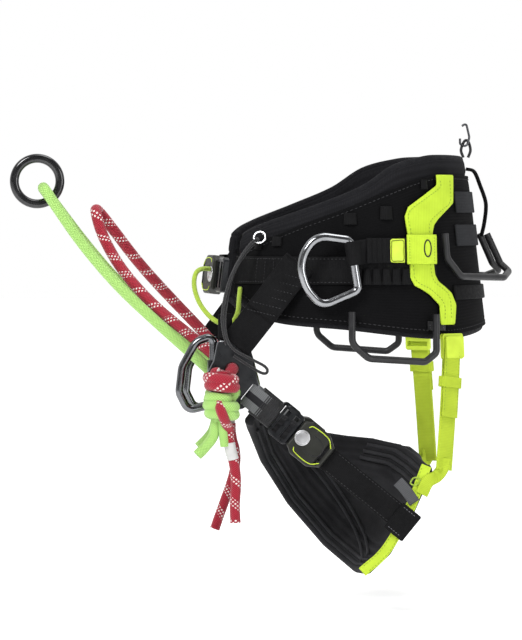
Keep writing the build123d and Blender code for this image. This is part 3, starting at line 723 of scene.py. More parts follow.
# ---- webbing on the belt
def belt_strap(name, start, end, level, off, width, thick, material, steps=None):
    """Webbing round the belt from one angle to another. level and off may be functions of the share done."""
    steps = steps or max(8, int(abs(end - start) * 1.2))
    share = np.linspace(0, 1, steps)
    angles = start + (end - start) * share
    levels = np.array([level(s) if callable(level) else level for s in share], float)
    offs = np.array([off(s) if callable(off) else off for s in share], float) + thick / 2
    return strap(name, belt(angles, levels, offs), belt_out(angles, levels), width, thick, material, "saddle")


def stitch_on_belt(name, start, end, level, off):
    """A row of stitches round the belt from one angle to another."""
    angles = start + (end - start) * np.linspace(0, 1, max(4, int(abs(end - start) * 1.5)))
    return stitches(name, belt(angles, level, off), belt_out(angles, level), THREAD_DARK, "saddle", 2.6, 1.4, 0.38)


def bar_stitch(name, angle, low, high, off):
    """A short row of stitches up the belt."""
    levels = np.linspace(low, high, 12)
    return stitches(name, belt(angle, levels, off), belt_out(angle, levels), THREAD_DARK, "saddle", 2.2, 1.0, 0.42)


WAIST_LEVEL = -0.5
left_end = float(belt_angle(-119))
for side, k, _ in SIDES:
    end = left_end + (3 if side == "left" else 10)
    made = belt_strap(f"waist_webbing_{side}", 57 * k, end * k, WAIST_LEVEL, 0.4, 28.5, 2.0, BLACK)
    stands_for(side == "left" and "waist_webbing")
    for at in (2, 9, 16, 23):
        bar_stitch(f"waist_bar_{side}_{at}", (139.5 - at * 0.62) * k, WAIST_LEVEL - 12.5, WAIST_LEVEL + 12.5, 2.5)
    for row in (-11.8, 11.8):
        stitch_on_belt(f"waist_row_{side}_{row:.0f}", 70 * k, (end - 3) * k, WAIST_LEVEL + row, 2.45)

YOKE = [
    (78, 97), (78, 86), (62, 75), (46, 64), (42, 54), (44, 42), (46, 30), (47, 10), (47, -8), (52, -16), (60, -20),
    (68, -25), (79, -36), (80, -56), (97, -56), (99, -36), (94, -24), (86, -17), (79, -12), (75, -5), (74, 4),
    (73, 38), (75, 46), (80, 52), (89, 60), (98, 68), (99, 97),
]
YOKE_OFF, KEEPER_OFF = 2.6, 7.2
YOKE_ROWS = {
    "a": [(94, 92), (94, 70), (84, 61), (71, 50), (69, 38), (70, 2), (74, -12), (90, -26), (93, -52)],
    "b": [(82, 92), (82, 84), (66, 73), (50, 62), (46, 54), (49, 36), (51, 2), (54, -11), (70, -20), (84, -34),
          (85, -52)],
}
for side, place in (("left", on_left(YOKE_OFF)), ("right", on_right(YOKE_OFF))):
    made = slab(f"yoke_{side}", YOKE, place, 2.0, LIME, "saddle", rim=1.2)
    stands_for(side == "left" and "yokes")
    for row, points in YOKE_ROWS.items():
        line = smooth_line(points, 1.5)
        at = place(line[:, 0], line[:, 1], 2.1)
        out = units(at * [1.0, 1.4, 0] + [0, 0, 12])
        stitches(f"yoke_row_{row}_{side}", at, out, THREAD_LIME, "saddle", 2.6, 1.2, 0.4)

# Side straps: from under the keeper to the side ring's bar, doubled at the ring.
for side, k, _ in SIDES:
    made = belt_strap(f"side_strap_{side}", 60 * k, 88 * k, lambda s: 21.5 - 2.0 * s, 5.0, 25.0, 2.0, BLACK)
    stands_for(side == "left" and "side_straps")
    route = smooth_line([
        belt(84.5, 19.6, 6.0), belt(89, 19.2, 6.4), (173.0, -4, 18.6), (177.5, -6.2, 18.2), (182.2, -11.5, 17.5),
        (180.0, -17.5, 16.6), (174.0, -18.8, 16.0), (169.5, -13, 16.6), (168.5, -6, 17.2), belt(91, 18.4, 3.8),
    ], 1.2)
    out = units(np.cross(np.gradient(route, axis=0), [0, -0.16, 0.987]))
    route, out = sided(k, route, out)
    strap(f"side_strap_fold_{side}", route, out, 24.5, 1.8, BLACK, "saddle")
    for y in (24, 19, 14, 9, 4):
        a = float(belt_angle(y, 20)) * k
        made = belt_strap(f"keeper_{side}_{y}", a - 1.1, a + 1.1, 20.0, 7.2, 25.5, 1.9, BLACK, steps=6)
        if y == 24 and side == "left":
            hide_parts("side_strap_keepers")
        bar_stitch(f"keeper_row_{side}_{y}", a + 0.9, 8.5, 31.5, 7.0)
    for row in (-10.0, 10.0):
        stitch_on_belt(f"side_row_{side}_{row:.0f}", 62 * k, 86 * k, 20.5 + row, 7.1)

# The keeper box over the yoke, with its oval eyelet.
for side, on_side in (("left", on_left), ("right", on_right)):
    place = on_side(KEEPER_OFF)
    box = [(43.5, 36), (43.5, 6), (76.5, 6), (76.5, 36)]
    made = slab(f"yoke_keeper_{side}", box, place, 2.0, LIME, "saddle", rim=0.9)
    stands_for(side == "left" and "yoke_keepers")
    for y in (46.5, 73.5):
        at = place(y, np.linspace(8, 34, 20), 2.0)
        stitches(f"keeper_edge_{side}_{y:.0f}", at, units(at * [1, 1.4, 0]), THREAD_LIME, "saddle", 1.5, 1.4, 0.5)
    turn = np.linspace(0, 2 * math.pi, 40)
    tube(f"eyelet_{side}", place(66 + 3.8 * np.cos(turn), 22 + 8.5 * np.sin(turn), 1.9), 0.75, RUBBER, "saddle", 8)
    patch = np.stack([66 + 3.0 * np.cos(turn[:-1]), 22 + 7.6 * np.sin(turn[:-1])], 1)
    slab(f"eyelet_face_{side}", patch, on_side(KEEPER_OFF + 1.9), 0.5, LIME, "saddle", 1.4, 0.4)
    # The lime slide on the side strap.
    box = [(25.5, 32), (25.5, 7.6), (41.5, 7.6), (41.5, 32)]
    made = slab(f"strap_slide_{side}", box, place, 2.8, LIME_PLASTIC, "saddle", step=2.0, rim=1.6)
    stands_for(side == "left" and "side_strap_slides")
    # Painted shadow: a thin dark line just inside the slide's rim stands for the shade in the groove there.
    rim = smooth_line([(27.4, 29.6), (33.5, 30.2), (39.6, 29.6), (39.9, 19.8), (39.6, 10), (33.5, 9.4), (27.4, 10),
                       (27.1, 19.8), (27.4, 29.6)], 1.2)
    tube(f"slide_shadow_line_{side}", place(rim[:, 0], rim[:, 1], 2.75), 0.35, SEAM_SHADOW, "saddle", 6)

# ---- hip straps
HIP_TOP, HIP_FOOT = np.array([153.0, -66, 6]), np.array([138.0, -129, -77])
HIP_LAYERS = ((-0.02, 1.0, -1.0), (0.0, 0.62, 1.1))
HIP_BOW = 4.0


def bow(share):
    """The hip strap's bow outwards at a share of its length."""
    return np.array([HIP_BOW, 0, 0]) * np.clip(1 - abs(2 * share - 1), 0, 1)


way = HIP_FOOT - HIP_TOP
out = units(np.cross([0.22, 0.72, -0.66], -way))
out = out if out[0] > 0 else -out
across = unit(np.cross(out, unit(way)))
for side, k, _ in SIDES:
    share = np.linspace(-0.02, 1.0, 40)
    centres = HIP_TOP + way * share[:, None] + bow(share[:, None])
    for layer, (low, high, lift) in enumerate(HIP_LAYERS):
        line = centres[(share >= low) & (share <= high)] + out * lift
        line, normal = sided(k, line, np.broadcast_to(out, line.shape))
        made = strap(f"hip_strap_{side}_{layer}", line, normal, 33.5, 1.9, BLACK, "saddle")
        stands_for(layer == 0 and side == "left" and "hip_straps")
    for n in range(6):
        a = 0.08 + n * 0.09
        ends = [HIP_TOP + way * at + across * over + out * 2.2 + bow(a) for at, over in ((a, 14), (a + 0.12, -14))]
        line = resample(ends, 2)
        line, normal = sided(k, line, np.broadcast_to(out, line.shape))
        stitches(f"hip_zig_{side}_{n}", line, normal, THREAD_DARK, "saddle", 2.4, 1.0, 0.42)

# ---- ropes
GREEN_ROUTE = [
    (129.7, -130, -125), (108, -130, -125), (92, -160, -95), (65, -203, -56), (40, -242, -19),
    (20, -278, 24), (13, -304, 62), (13, -318.5, 84),
    (-13, -318.5, 84), (-13, -302, 62), (-20, -274, 25), (-40, -238, -16), (-64, -198, -51),
    (-90, -146, -96), (-108, -106, -134), (-129.7, -106, -134),
]
RED_ROUTE = [
    (129.7, -132, -101), (107, -132, -101), (82, -167, -71), (51, -208, -37), (27, -239, -1),
    (14, -258, 34), (12, -265, 60),
    (-10, -262, 62), (-14, -246, 42), (-34, -218, 6), (-60, -184, -30), (-86, -146, -68),
    (-107, -108, -110), (-129.7, -108, -110),
]


def braid(pitch=BRAID_PITCH, depth=BRAID_DEPTH):
    """The relief of a braided cover, in step with its material."""
    def relief(along, turn):
        right = along * CARRIERS / (pitch * 2) + turn * CARRIERS
        left = along * CARRIERS / (pitch * 2) - turn * CARRIERS
        return depth * (np.abs(np.sin(math.pi * right)) * np.abs(np.sin(math.pi * left)) * 2 - 1) * 0.8
    return relief


def rope(name, route, diameter, material, body, step=0.6, around=60, pitch=BRAID_PITCH, depth=BRAID_DEPTH):
    """A braided rope along a route. Returns it with its centreline and its length."""
    path = nurbs_line(route, step)
    made = tube(name, path, diameter / 2 - depth * 0.2, material, body, around, braid(pitch, depth))
    return made, path, float(run_lengths(path)[-1])


green, green_path, green_length = rope("green_bridge_rope", GREEN_ROUTE, ROPE_D, GREEN_ROPE, None)
stands_for("green_rope")
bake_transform(green)
red, red_path, red_length = rope("red_bridge_rope", RED_ROUTE, ROPE_D, RED_ROPE, None)
stands_for("red_rope")
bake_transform(red)

RED_TAIL_LEFT = [
    (155, -137, -161.2), (155, -137, -176), (154, -131, -196), (152.5, -129, -217), (152, -131, -237),
    (152, -130, -256),
]
RED_TAIL_RIGHT = [
    (-154, -110, -170.2), (-154, -110, -184), (-154, -104, -202), (-153, -106, -223), (-152, -113, -244),
    (-151, -121, -265), (-150, -128, -285),
]
for name, route in (("red_tail_left", RED_TAIL_LEFT), ("red_tail_right", RED_TAIL_RIGHT)):
    made, path, length = rope(f"{name}_rope", route, TAIL_D, RED_ROPE, "saddle", 0.7)
    stands_for(name)
    if name == "red_tail_left":
        runs = run_lengths(path)
        wrap = path[(runs > 13) & (runs < 31)]
        tube("tail_tape", wrap, TAIL_D / 2 + 0.55, WHITE_TAPE, "saddle", 28,
                           lambda u, t: 0.12 * np.sin(u * 2.1 + t * 2 * math.pi))
    lead = np.array([(0.2, 0, 0.4), (8, -3, 6), (16, -6, 12), (19, -9, 19), (13, -11, 26), (3, -12, 28)])
    if name == "red_tail_right":
        lead = flip(lead)
    lead = smooth_line(path[0] + lead)
    tube(f"{name}_lead", lead, TAIL_D / 2 - 0.1, RED_ROPE, "saddle", 48, braid())
    tube(f"{name}_tip", path[-6:], TAIL_D / 2 + 0.15, RED_ROPE, "saddle", 32)

# Barrel knots: turns of rope wound round a vertical axis beside each hip plate.
KNOT_XY = np.array([155.5, -144.5])
KNOT_RADIUS, KNOT_SLANT = 19.5, 0.22


def knot(name, low, high, turns, material, hole, k, shift, lean):
    """Turns of rope, narrower towards the ends and tilted, with the end that goes through the plate's hole."""
    angle = np.linspace(0, 2 * math.pi * turns, int(64 * turns))
    share = np.linspace(0, 1, len(angle))
    tuck = np.clip(np.minimum(share, 1 - share) / 0.12, 0, 1) ** 0.6
    radius = (KNOT_RADIUS - ROPE_D / 2 - 0.3) * (0.78 + 0.22 * np.sin(math.pi * share)) * (0.3 + 0.7 * tuck)
    x = KNOT_XY[0] + radius * np.cos(angle + lean)
    y = KNOT_XY[1] + radius * np.sin(angle + lean)
    level = low + ROPE_D / 2 + (high - low - ROPE_D) * share - KNOT_SLANT * (y - KNOT_XY[1])
    coil, = sided(k, np.stack([x, y, level], 1), shift=shift)
    made = tube(name, coil, ROPE_D / 2 - 0.1, material, "saddle", 36, braid())
    middle = (KNOT_XY[0] - 4, KNOT_XY[1] + 3, (low + high) / 2)
    stub = np.array([(HIP_X - 0.3, *hole), (HIP_X + 7, *hole), middle])
    core = np.stack([np.full(12, KNOT_XY[0]), np.full(12, KNOT_XY[1]), np.linspace(low + 3, high - 3, 12)], 1)
    stub, core = sided(k, stub, core, shift=shift)
    plain = RED_PLAIN if material == RED_ROPE else material
    tube(f"{name}_stub", smooth_line(stub), ROPE_D / 2 - 0.1, plain, "saddle", 32, braid())
    tube(f"{name}_core", core, 8.5, plain, "saddle", 24)
    return made


for side, k, shift in SIDES:
    red_knot = knot(f"red_knot_{side}", -127, -99, 2.35, RED_ROPE, (-132, -101), k, shift, 2.4)
    green_knot = knot(f"green_knot_{side}", -156, -122, 2.9, GREEN_ROPE, (-130, -125), k, shift, 2.0)
    if side == "left":
        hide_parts("red_knots")
        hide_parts("green_knots")
    short = [(158, -144, -150), (158, -143, -163), (157, -141, -178)]
    long = [(155, -149, -150), (155, -153, -168), (155, -161, -179), (156, -169, -187)]
    short, long = sided(k, short, long, shift=shift)
    tube(f"green_end_{side}", smooth_line(short), TAIL_D / 2 - 0.6, GREEN_ROPE, "saddle", 32, braid())
    tube(f"green_tail_{side}", smooth_line(long), TAIL_D / 2, GREEN_ROPE, "saddle", 32, braid())

# ---- elastic cord and closing loop
ELASTIC_ROUTE = [
    (143, -138, -76), (143, -144, -56), (141, -141, -30), (134, -132, -2), (120.8, -115.2, 23.8),
    (120.4, -105, 32.4), (114.6, -103.4, 30.2), (115, -112.8, 22.2), (126, -130, -1), (135, -137, -28),
    (143, -141, -55), (146, -136, -79), (151, -114, -90), (152, -96, -99), (150, -99, -107),
    (150, -116, -97), (146, -131, -87),
]
made, path, length = rope("elastic_line", ELASTIC_ROUTE, 3.0, ELASTIC, "saddle", 0.8, 14, 4.0, 0.08)
stands_for("elastic_cord")

CLOSING_ROUTE = [
    (58, -149, 0), (70, -162, 2), (80, -168, -13), (92, -164, -32), (104, -155, -46), (114, -145, -54),
    (118, -133, -58), (112, -124, -46), (100, -122, -30), (92, -120, -19),
]
made, path, length = rope("closing_line", CLOSING_ROUTE, 5.0, LIME_CORD, "saddle", 0.8, 20, 6.0, 0.12)
stands_for("closing_loop")

# ---- leg loops
leg_x = unit([0.170, 0.762, -0.625])
leg_z = unit(np.array([1.0, 0, 0]) - leg_x * leg_x[0])
leg_y = np.cross(leg_z, leg_x)
PAD_SECTIONS = np.array([(-80.0, 211.0), (-35.0, 217.0), (10.0, 210.0), (66.0, 195.0)])
PAD_FRONT, PAD_RIM, PAD_DEPTH = 14.0, -6.0, 118.0
PAD_OUT_LOW = np.array([
    (8, -14), (22, -28), (50, -45), (97, -61), (154, -71), (198, -72), (214, -64), (230, -50)], float)
PAD_OUT_HIGH = np.array([
    (8, -2), (25, 2), (60, 10), (100, 34), (123, 49), (151, 62), (170, 63), (188, 61), (230, 62)], float)


def leg_point(u, v, w, k=1, shift=(0, 0, 0)):
    """Points of a leg loop from its own measures: along its strap, across it, and outwards."""
    u, v, w = together(u, v, w)
    points = LEG_ORIGIN + u[..., None] * leg_x + v[..., None] * leg_y + w[..., None] * leg_z
    return points if k > 0 else flip(points, shift)


def on_leg(k, shift, out, at=0.0):
    """A way to lay an outline on a leg loop, at a place along its strap and a height out of it."""
    return lambda u, v, height: leg_point(at + u, v, out + height, k, shift)


def leg_out(k=1):
    """The way that a leg loop's strap faces."""
    return leg_z if k > 0 else leg_z * [-1, 1, 1]


def pad_face(turn, v, wall=10.2):
    """Where the pad's face towards the thigh lies, as measures of the leg loop."""
    back = np.interp(v, PAD_SECTIONS[:, 0], PAD_SECTIONS[:, 1])
    middle, half = (PAD_FRONT + back) / 2, (back - PAD_FRONT) / 2 - wall
    return middle - half * np.cos(turn), PAD_RIM - (PAD_DEPTH - wall) * np.sin(turn)


def pad_edge(turn, edge, v=0.0, rounds=14):
    """The height of the pad's upper or lower edge at a turn round the thigh, found by halving from v."""
    for _ in range(rounds):
        v = 0.5 * v + 0.5 * np.interp(pad_face(turn, v, 5)[0], edge[:, 0], edge[:, 1])
    return v


PAD_MIDDLE, PAD_ROUND, PAD_END = 5.0, 5.0, 0.06
RIDGE_HIGH, RIDGE_PITCH, RIDGE_REACH = 1.7, 9.0, 46
LIP_HIGH, LIP_AT, LIP_WIDE = 2.2, 3, 4.0
PAD_TURN_RADIUS, PAD_ROUND_LENGTH = 105, 0.28


def pad_mesh(name, k, shift, body):
    """The moulded pad: a trough with a thick rim and ridges that follow its outline."""
    turns = np.linspace(0.0, math.pi, 110)
    rows = []
    for turn in turns:
        low = pad_edge(turn, PAD_OUT_LOW, -20.0, 12) + 0.4
        high = pad_edge(turn, PAD_OUT_HIGH, 10.0, 12) - 0.4
        r = min(PAD_ROUND, (high - low) / 2.2)
        up = np.linspace(low + r, high - r, 46)
        fade = min(1.0, turn / PAD_END, (math.pi - turn) / PAD_END)
        thin = max(0.25, quarter(fade))
        section = [(v, 10.0) for v in up] + [(high - r + r * math.sin(b), 5 + 5 * math.cos(b)) for b in BEND]
        section += [(v, 0.0) for v in up[::-1]] + [(low + r - r * math.sin(b), 5 - 5 * math.cos(b)) for b in BEND]
        points = []
        for v, wall in section:
            depth = min(v - low, high - v)
            if wall > PAD_MIDDLE:
                ridge = RIDGE_HIGH * math.sin(depth * 2 * math.pi / RIDGE_PITCH) * min(1, max(0, (depth - 5) / 5))
                ridge *= min(1.0, max(0.0, (RIDGE_REACH - depth) / 8))
                lip = LIP_HIGH * math.exp(-((depth - LIP_AT) / LIP_WIDE) ** 2)
                wall += (ridge + lip - 1.2) * fade
            else:
                wall += max(0.0, noise.noise(Vector((turn * 1.6, v * 0.02, 3.0))) * 1.2) + 0.2
            u, w = pad_face(turn, v, PAD_MIDDLE + (wall - PAD_MIDDLE) * thin)
            points.append((u, v, w))
        rows.append(points)
    rings = leg_point(*np.moveaxis(np.array(rows), -1, 0), k, shift)
    if k < 0:
        rings = rings[:, ::-1]
    around = np.append(np.linspace(0, PAD_ROUND_LENGTH, rings.shape[1]), 0)
    return sweep_mesh(name, rings, turns * PAD_TURN_RADIUS * MM, around, FOAM, body)


def pad_rib(name, turn, v, radius, k, shift, body):
    """A moulded rib that stands out of the pad's face."""
    u, w = pad_face(turn, v)
    tube(name, smooth_line(leg_point(u, v, w, k, shift), 1.5), radius, RIB, body, 10)


LEG_FOLD = [(36, -1.5), (24, -3.2), (14, -5.6), (6, -7.6), (2.2, -5.6), (1.2, -2.0), (2.2, 2.2), (7, 3.6), (14, 3.3),
            (24, 2.2), (36, 1.5)]
for side, k, shift in SIDES:
    body = f"{side}_leg_loop"
    turn = np.linspace(1.75, 3.02, 26)
    for row, apart in enumerate((9.0, 16.5, 24.0)):
        part = turn[: 26 - row * 2]
        pad_rib(f"pad_rib_high_{row}_{side}", part, pad_edge(part, PAD_OUT_HIGH) - apart, 1.9, k, shift, body)
    turn = np.linspace(0.35, 2.95, 50)
    for row, apart in enumerate((8.0, 15.0)):
        pad_rib(f"pad_rib_low_{row}_{side}", turn, pad_edge(turn, PAD_OUT_LOW) + apart, 1.7, k, shift, body)
    turn = np.linspace(1.25, 2.75, 30)
    share = np.linspace(0, 1, 30)
    for row, apart in enumerate((0.0, 8.0)):
        pad_rib(f"pad_crease_{row}_{side}", turn, -6 - apart - 44 * share ** 1.4, 1.5, k, shift, body)
    pad = pad_mesh(f"leg_foam_{side}", k, shift, body)
    stands_for(f"leg_pad_{side}")

    def leg_strap(name, runs, v, w, width, thick, material, relief=None):
        line = leg_point(runs, v, w, k, shift)
        normal = np.broadcast_to(leg_out(k), line.shape)
        return strap(name, line, normal, width, thick, material, body, relief)

    # Webbing from the hip plate: doubled, grey with a black stripe, inside a ribbed black sleeve.
    fold = smooth_line(LEG_FOLD, 1.0)
    line = leg_point(fold[:, 0], 0, fold[:, 1], k, shift)
    inner = units(np.stack([np.gradient(fold[:, 1]), np.zeros(len(fold)), -np.gradient(fold[:, 0])], 1))
    normal = inner[:, :1] * leg_x + inner[:, 2:] * leg_z
    normal = normal if k > 0 else normal * [-1, 1, 1]
    made = strap(f"leg_web_{side}", line, normal, 24.5, 2.0, GREY, None)
    stands_for(f"leg_webbing_{side}")
    start, end = (tuple(leg_point(at, 0, 0, k, shift) * MM) for at in (3, 30))
    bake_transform(made)
    u = np.linspace(13, 39, 80)
    leg_strap(f"leg_sleeve_{side}", u, 0, 0.0, 29.0, 7.0, RUBBER,
              lambda run, across: 0.35 * np.sin(run * 2 * math.pi / 2.2) * np.ones_like(across))
    # Strap from the buckle to the pad's back edge.
    u = np.linspace(103, 209, 90)
    made = leg_strap(f"leg_strap_web_{side}", u, 0, 1.0, 24.8, 2.0, BLACK)
    stands_for(f"leg_strap_{side}")
    for row in (-10.6, 10.6):
        line = leg_point(np.linspace(112, 196, 60), row, 2.1, k, shift)
        stitches(f"leg_row_{side}_{row:.0f}", line, leg_out(k), THREAD_DARK, body, 2.6, 1.3, 0.38)
    # The keeper at the back edge.
    box = [(194, -18), (218, -18), (218, 14), (194, 14)]
    slab(f"leg_keeper_{side}", box, on_leg(k, shift, 2.2), 2.0, BLACK, body)
    for v in (-14.5, 10.5):
        line = leg_point(np.linspace(197, 215, 14), v, 4.3, k, shift)
        stitches(f"leg_keeper_row_{side}_{v:.0f}", line, leg_out(k), THREAD_GREY, body, 2.0, 1.1, 0.4)
    # A grey pull tab and a small lime loop beside it.
    line = smooth_line([(176, 27), (184, 26), (193, 24), (203, 21)], 1.5)
    line = leg_point(line[:, 0], line[:, 1], -2.4, k, shift)
    strap(f"pull_tab_{side}", line, leg_out(k), 11.5, 1.4, GREY_TAB, body)
    line = smooth_line([(186, 40), (190, 43), (194, 41), (192, 35), (187, 34), (186, 40)], 1.0)
    tube(f"pull_loop_{side}", leg_point(line[:, 0], line[:, 1], -2.2, k, shift), 0.8, LIME_CORD, body, 8)
    # Webbing that ties the riser's foot to the pad's back corner.
    foot = np.array([157.0, 80.0, -203.0]) + shift
    tie = [foot + [0.4, 2.2, 12], foot + [0.8, 0.8, 2], foot + [2.0, -5, -6],
           leg_point(200, 46, -1.6) + shift, leg_point(203, 32, -1.8) + shift]
    tie = smooth_line(tie, 1.5)
    strap(f"riser_tie_{side}", tie if k > 0 else tie * [-1, 1, 1], leg_out(k), 13.0, 2.0, LIME_RISER, body)
    # Lime edge tape down the pad's back rim.
    tape_line = smooth_line([(188.5, 58), (203.5, 10), (210.5, -35), (206, -67)], 1.5)
    centres = leg_point(tape_line[:, 0], tape_line[:, 1], -4.3, k, shift)
    made = strap(f"lime_tape_{side}", centres, leg_out(k), 10.6, 2.2, LIME_TAPE, body)
    stands_for(f"edge_tape_{side}")
    for lift in (-3.8, 3.8):
        line = leg_point(tape_line[:, 0] + lift, tape_line[:, 1], -3.1, k, shift)
        stitches(f"tape_row_{side}_{lift:.0f}", line[3:-3], leg_out(k), THREAD_LIME, body, 2.4, 1.2, 0.35)

# ---- lime lines and cap rings on the buckles
TRIM = [(-13, 12.6), (-9, 16.2), (9, 16.2), (17.6, 9.5)]
LEG_BUCKLE_AT, LEG_BUCKLE_OUT = 85.5, 2.0
WAIST_BUCKLE = (167.0, -6.0, 9.0)


def buckle_trim(name, place, body):
    """Lines inlaid round the cap of a buckle, as place(x, y, height) puts them."""
    for half, points in (("a", TRIM), ("b", [(x, -y) for x, y in reversed(TRIM)])):
        line = smooth_line(points, 0.8)
        tube(f"{name}_{half}", place(line[:, 0], line[:, 1], 6.45), 0.5, LIME_PLASTIC, body, 8)
    line = smooth_line([(-4, 9.0), (4, 9.0), (12, 4.5), (12, -4.5), (4, -9.0), (-4, -9.0)], 0.8)
    tube(f"{name}_c", place(line[:, 0], line[:, 1], 6.4), 0.5, BLACK_PLASTIC, body, 8)
    turn = np.linspace(0, 2 * math.pi, 36)
    tube(f"{name}_ring", place(-12 + 7.3 * np.cos(turn), 7.3 * np.sin(turn), 6.5), 0.8, SILVER, body, 8)


for side, k, shift in SIDES:
    buckle_trim(f"leg_trim_{side}", on_leg(k, shift, LEG_BUCKLE_OUT, LEG_BUCKLE_AT), f"{side}_leg_loop")
waist_out = belt_out(*WAIST_BUCKLE[:2])
waist_x = unit(np.cross(waist_out, [0, 0, 1.0]))
waist_y = np.cross(waist_out, waist_x)
waist_at = belt(*WAIST_BUCKLE)
buckle_trim("waist_trim", lambda x, y, h: waist_at + np.asarray(x)[..., None] * waist_x
            + np.asarray(y)[..., None] * waist_y + h * waist_out, "saddle")

# A blank tab sewn over the belt's lower edge.
LABEL = [(66, -52), (66, -61), (86, -62), (86, -53)]
for side, place in (("left", on_left(0.3)), ("right", on_right(0.3))):
    slab(f"blank_label_{side}", LABEL, place, 1.0, BLACK_PLASTIC, "saddle", 1.6, 0.4)
    for y in (68.5, 83.5):
        at = place(y, np.linspace(-60, -54, 6), 1.05)
        stitches(f"label_row_{side}_{y:.0f}", at, units(at * [1, 1.4, 0]), THREAD_GREY, "saddle", 1.5, 1.0, 0.3)

def belt_loop(name, middle, k, level, span, off, rise, count, width):
    """A short piece of webbing that arches off the belt; span is half its length in degrees."""
    angles = np.linspace(middle - span, middle + span, count)
    lift = off + rise * np.sin(np.linspace(0, math.pi, count))
    return strap(name, belt(angles * k, level, lift), belt_out(angles * k, level), width, 1.2, BLACK, "saddle")


# A row of small webbing loops under the side strap.
for k in (1, -1):
    for y in (-8, 2, 12, 22, 32, 42):
        belt_loop(f"ladder_{y}_{k}", float(belt_angle(y, -6)), k, -6.5, 1.7, 3.3, 2.0, 12, 16.5)

# ---- risers
TAIL_LAYER = 2.9
RISER_KEEPER = [(-12.6, -2.2), (-12.6, 4.6), (-6, 5.3), (6, 5.3), (12.6, 4.6), (12.6, -2.2), (6, -2.8), (-6, -2.8),
                (-12.6, -2.2)]
RISER_TOP, RISER_FOOT = np.array([139.0, 92, -62]), np.array([157.0, 82, -206])
for side, k, shift in SIDES:
    body = f"{side}_leg_loop"
    way = RISER_FOOT + shift - RISER_TOP
    line = resample([RISER_TOP + way * share for share in (0.05, 0.5, 0.98)], 2.0)
    out = unit(np.cross(unit(way), [-0.62, 0.78, 0]))
    out = out if out[0] > 0 else -out
    centres = line + np.sin(np.linspace(0, math.pi, len(line)))[:, None] * out * 1.2
    centres, normal = sided(k, centres, np.broadcast_to(out, centres.shape))
    made = strap(f"riser_web_{side}", centres, normal, 22.3, 2.4, LIME_RISER, body)
    stands_for(f"riser_{side}")
    # The doubled tail that hangs from the adjuster, and the keeper round both layers.
    share = np.linspace(0.08, 0.66 if side == "left" else 0.5, 40)
    tail = centres[(share * (len(centres) - 1)).astype(int)] + normal[0] * TAIL_LAYER
    tail = smooth_line(tail[::6], 1.5)
    strap(f"riser_tail_{side}", tail, np.broadcast_to(normal[0], tail.shape), 22.0, 2.0, LIME_RISER, body)
    edge = np.cross(unit(tail[-1] - tail[0]), normal[0])
    for row in (-9.2, 9.2):
        at = tail[2:-3] + edge * row + normal[0] * 1.1
        stitches(f"riser_row_{side}_{row:.0f}", at, normal[0], THREAD_LIME, body, 2.4, 1.3, 0.36)
    spot = centres[int((0.34 if side == "left" else 0.28) * (len(centres) - 1))]
    loop = resample([spot + edge * across + normal[0] * away for across, away in RISER_KEEPER], 1.2)
    strap(f"riser_keeper_{side}", loop, units(loop - spot - normal[0] * 1.2), 11.0, 1.4, LIME_RISER, body)

# ---- rear panel, tabs and hook cord
for name, level in (("rear_band_high", 69.0), ("rear_band_mid", 35.0)):
    for k in (1, -1):
        belt_strap(f"{name}_{k}", 4 * k, float(belt_angle(100, level)) * k, level, 0.4, 22, 1.8, PANEL)
low_band = belt_strap("rear_band_low", -47, 47, -23.5, 0.4, 14.5, 2.0, BLACK)
stands_for("rear_webbing")

TABS = [(139, 25, 10, 9), (129, 29, 12, 10), (96, 52, 14, 12), (80, 58, 14, 14), (60, 87, 9, 10)]
for angle, level, length, height in TABS:
    for k in (1, -1):
        span = math.degrees(length / 2 / BELT_RADIUS)
        made = belt_loop(f"tab_{angle}_{k}", angle, k, level, span, 1.0, 1.9, 14, height)
        stands_for((angle, k) == (TABS[0][0], 1) and "gear_tabs")

line = smooth_line([
    (0, 126, 104), (0, 134.5, 101), (0, 141, 86), (0, 146, 72), (0, 147, 62), (0, 145, 46), (0, 142, 33)], 1.5)
out = units(np.cross(np.gradient(line, axis=0), [1.0, 0, 0]))
out[out[:, 1] < 0] *= -1
made = strap("back_strap", line, out, 9.6, 3.4, BLACK, "saddle")
stands_for("rear_strap")

line = smooth_line([
    (0, 123, 116), (0, 120.5, 124), (0, 124, 133), (0, 128, 133), (0, 130.5, 124), (0, 128, 116)], 0.6)
made = tube("hook_cord_loop", line, 1.5, ELASTIC, "saddle", 12)
stands_for("hook_cord")

FRONT_TAB = [(-146, -45), (-132, -44), (-130, -70), (-146, -70)]
made = slab("front_tab_cloth", FRONT_TAB, lambda y, z, height: np.stack([HIP_X + 0.3 + height, y, z], -1), 2.4,
            BLACK, "saddle", 2.0, 0.9)
stands_for("front_tab")

# ---- finishes of the hard parts
FINISH = {
    "side_ring": ALLOY, "front_ring": GREY_ALLOY, "bridge_ring": BLACK_ALLOY, "hip_plate": DARK_ALLOY,
    "accessory_ring": STEEL, "hanging_hook": DARK_WIRE,
    "lower_gear_loop": BLACK_PLASTIC, "rear_gear_loop": BLACK_PLASTIC,
    "waist_buckle_body": OLIVE, "waist_buckle_tongue": DARK_ALLOY, "waist_buckle_button": SILVER,
    "leg_buckle": OLIVE, "leg_tongue": DARK_ALLOY, "leg_button": SILVER, "riser_buckle": LIME_PLASTIC,
    "riser_lever": LIME_PLASTIC,
}
for name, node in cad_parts.items():
    for start, finish in FINISH.items():
        if name.startswith(start):
            node.data.materials.clear()
            node.data.materials.append(finish)
            if start == "hip_plate":
                node.data.materials.append(ALLOY)
                for face in node.data.polygons:
                    face.material_index = int(0.1 < abs(face.normal.x) < 0.95)

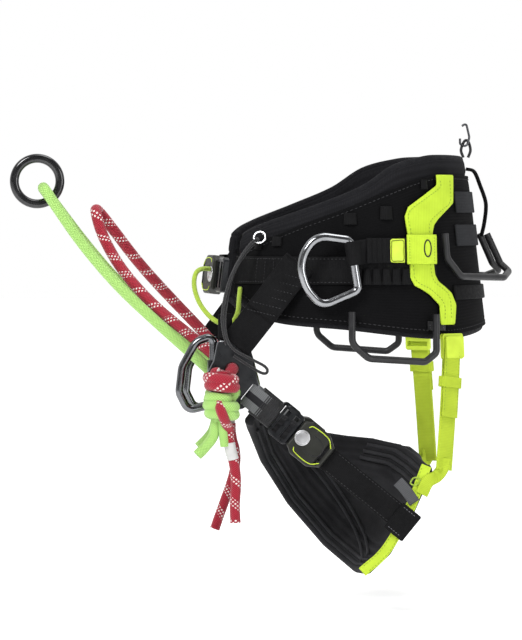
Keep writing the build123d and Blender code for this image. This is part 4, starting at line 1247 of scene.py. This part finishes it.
# ---- studio
floor_level = cad_low.z - 0.03
bpy.ops.mesh.primitive_plane_add(size=30, location=(0, 0, floor_level))
floor = bpy.context.object
paper = Nodes("pale floor")
paper.set(color=(0.95, 0.95, 0.95), rough=0.95)
paper.shader.inputs["Emission Color"].default_value = (1, 1, 1, 1)
paper.shader.inputs["Emission Strength"].default_value = 0.42
floor.data.materials.append(paper.material)

world = bpy.data.worlds.new("studio")
bpy.context.scene.world = world
world.use_nodes = True
sky = world.node_tree.nodes
shade = world.node_tree.links
spot, split, span = (sky.new(f"ShaderNode{kind}") for kind in ("TexCoord", "SeparateXYZ", "MapRange"))
span.inputs["From Min"].default_value, span.inputs["From Max"].default_value = 0.0, 0.45
span.inputs["To Min"].default_value, span.inputs["To Max"].default_value = 1.0, 0.16
shade.new(spot.outputs["Generated"], split.inputs[0])
shade.new(split.outputs["X"], span.inputs["Value"])
shade.new(span.outputs["Result"], sky["Background"].inputs["Color"])
sky["Background"].inputs[1].default_value = 1.0
bpy.context.scene.view_settings.view_transform = "Standard"


LAMPS_AIM = (0, -0.05, -0.05)
CAMERA_TARGET, CAMERA_BACK, CAMERA_AWAY = (-0.00645, -0.09008, -0.05458), (0.99585, -0.08713, 0.02618), 4.5
PHOTO_TALL, FOCAL_PIXELS, SENSOR = 640, 4285.7, 36


def lamp(name, place, power, size):
    """An area lamp aimed at the saddle."""
    data = bpy.data.lights.new(name, "AREA")
    data.energy, data.size = power, size
    made = bpy.data.objects.new(name, data)
    bpy.context.scene.collection.objects.link(made)
    made.location = place
    made.rotation_euler = (Vector(LAMPS_AIM) - Vector(place)).to_track_quat("-Z", "Y").to_euler()


lamp("key", (1.7, -1.3, 1.5), 52, 0.9)
lamp("fill", (2.2, 1.6, 0.4), 26, 1.2)
lamp("low", (2.0, -0.9, -0.9), 9, 1.0)
lamp("top", (0.2, 0.3, 2.0), 20, 1.2)

camera = bpy.data.objects.new("camera", bpy.data.cameras.new("camera"))
bpy.context.scene.collection.objects.link(camera)
back = Vector(CAMERA_BACK).normalized()
camera.location = Vector(CAMERA_TARGET) + back * CAMERA_AWAY
camera.rotation_mode = "QUATERNION"
camera.rotation_quaternion = back.to_track_quat("Z", "Y")
camera.data.sensor_width = SENSOR
camera.data.lens = SENSOR * FOCAL_PIXELS / PHOTO_TALL
camera.data.clip_end = 50
bpy.context.scene.camera = camera
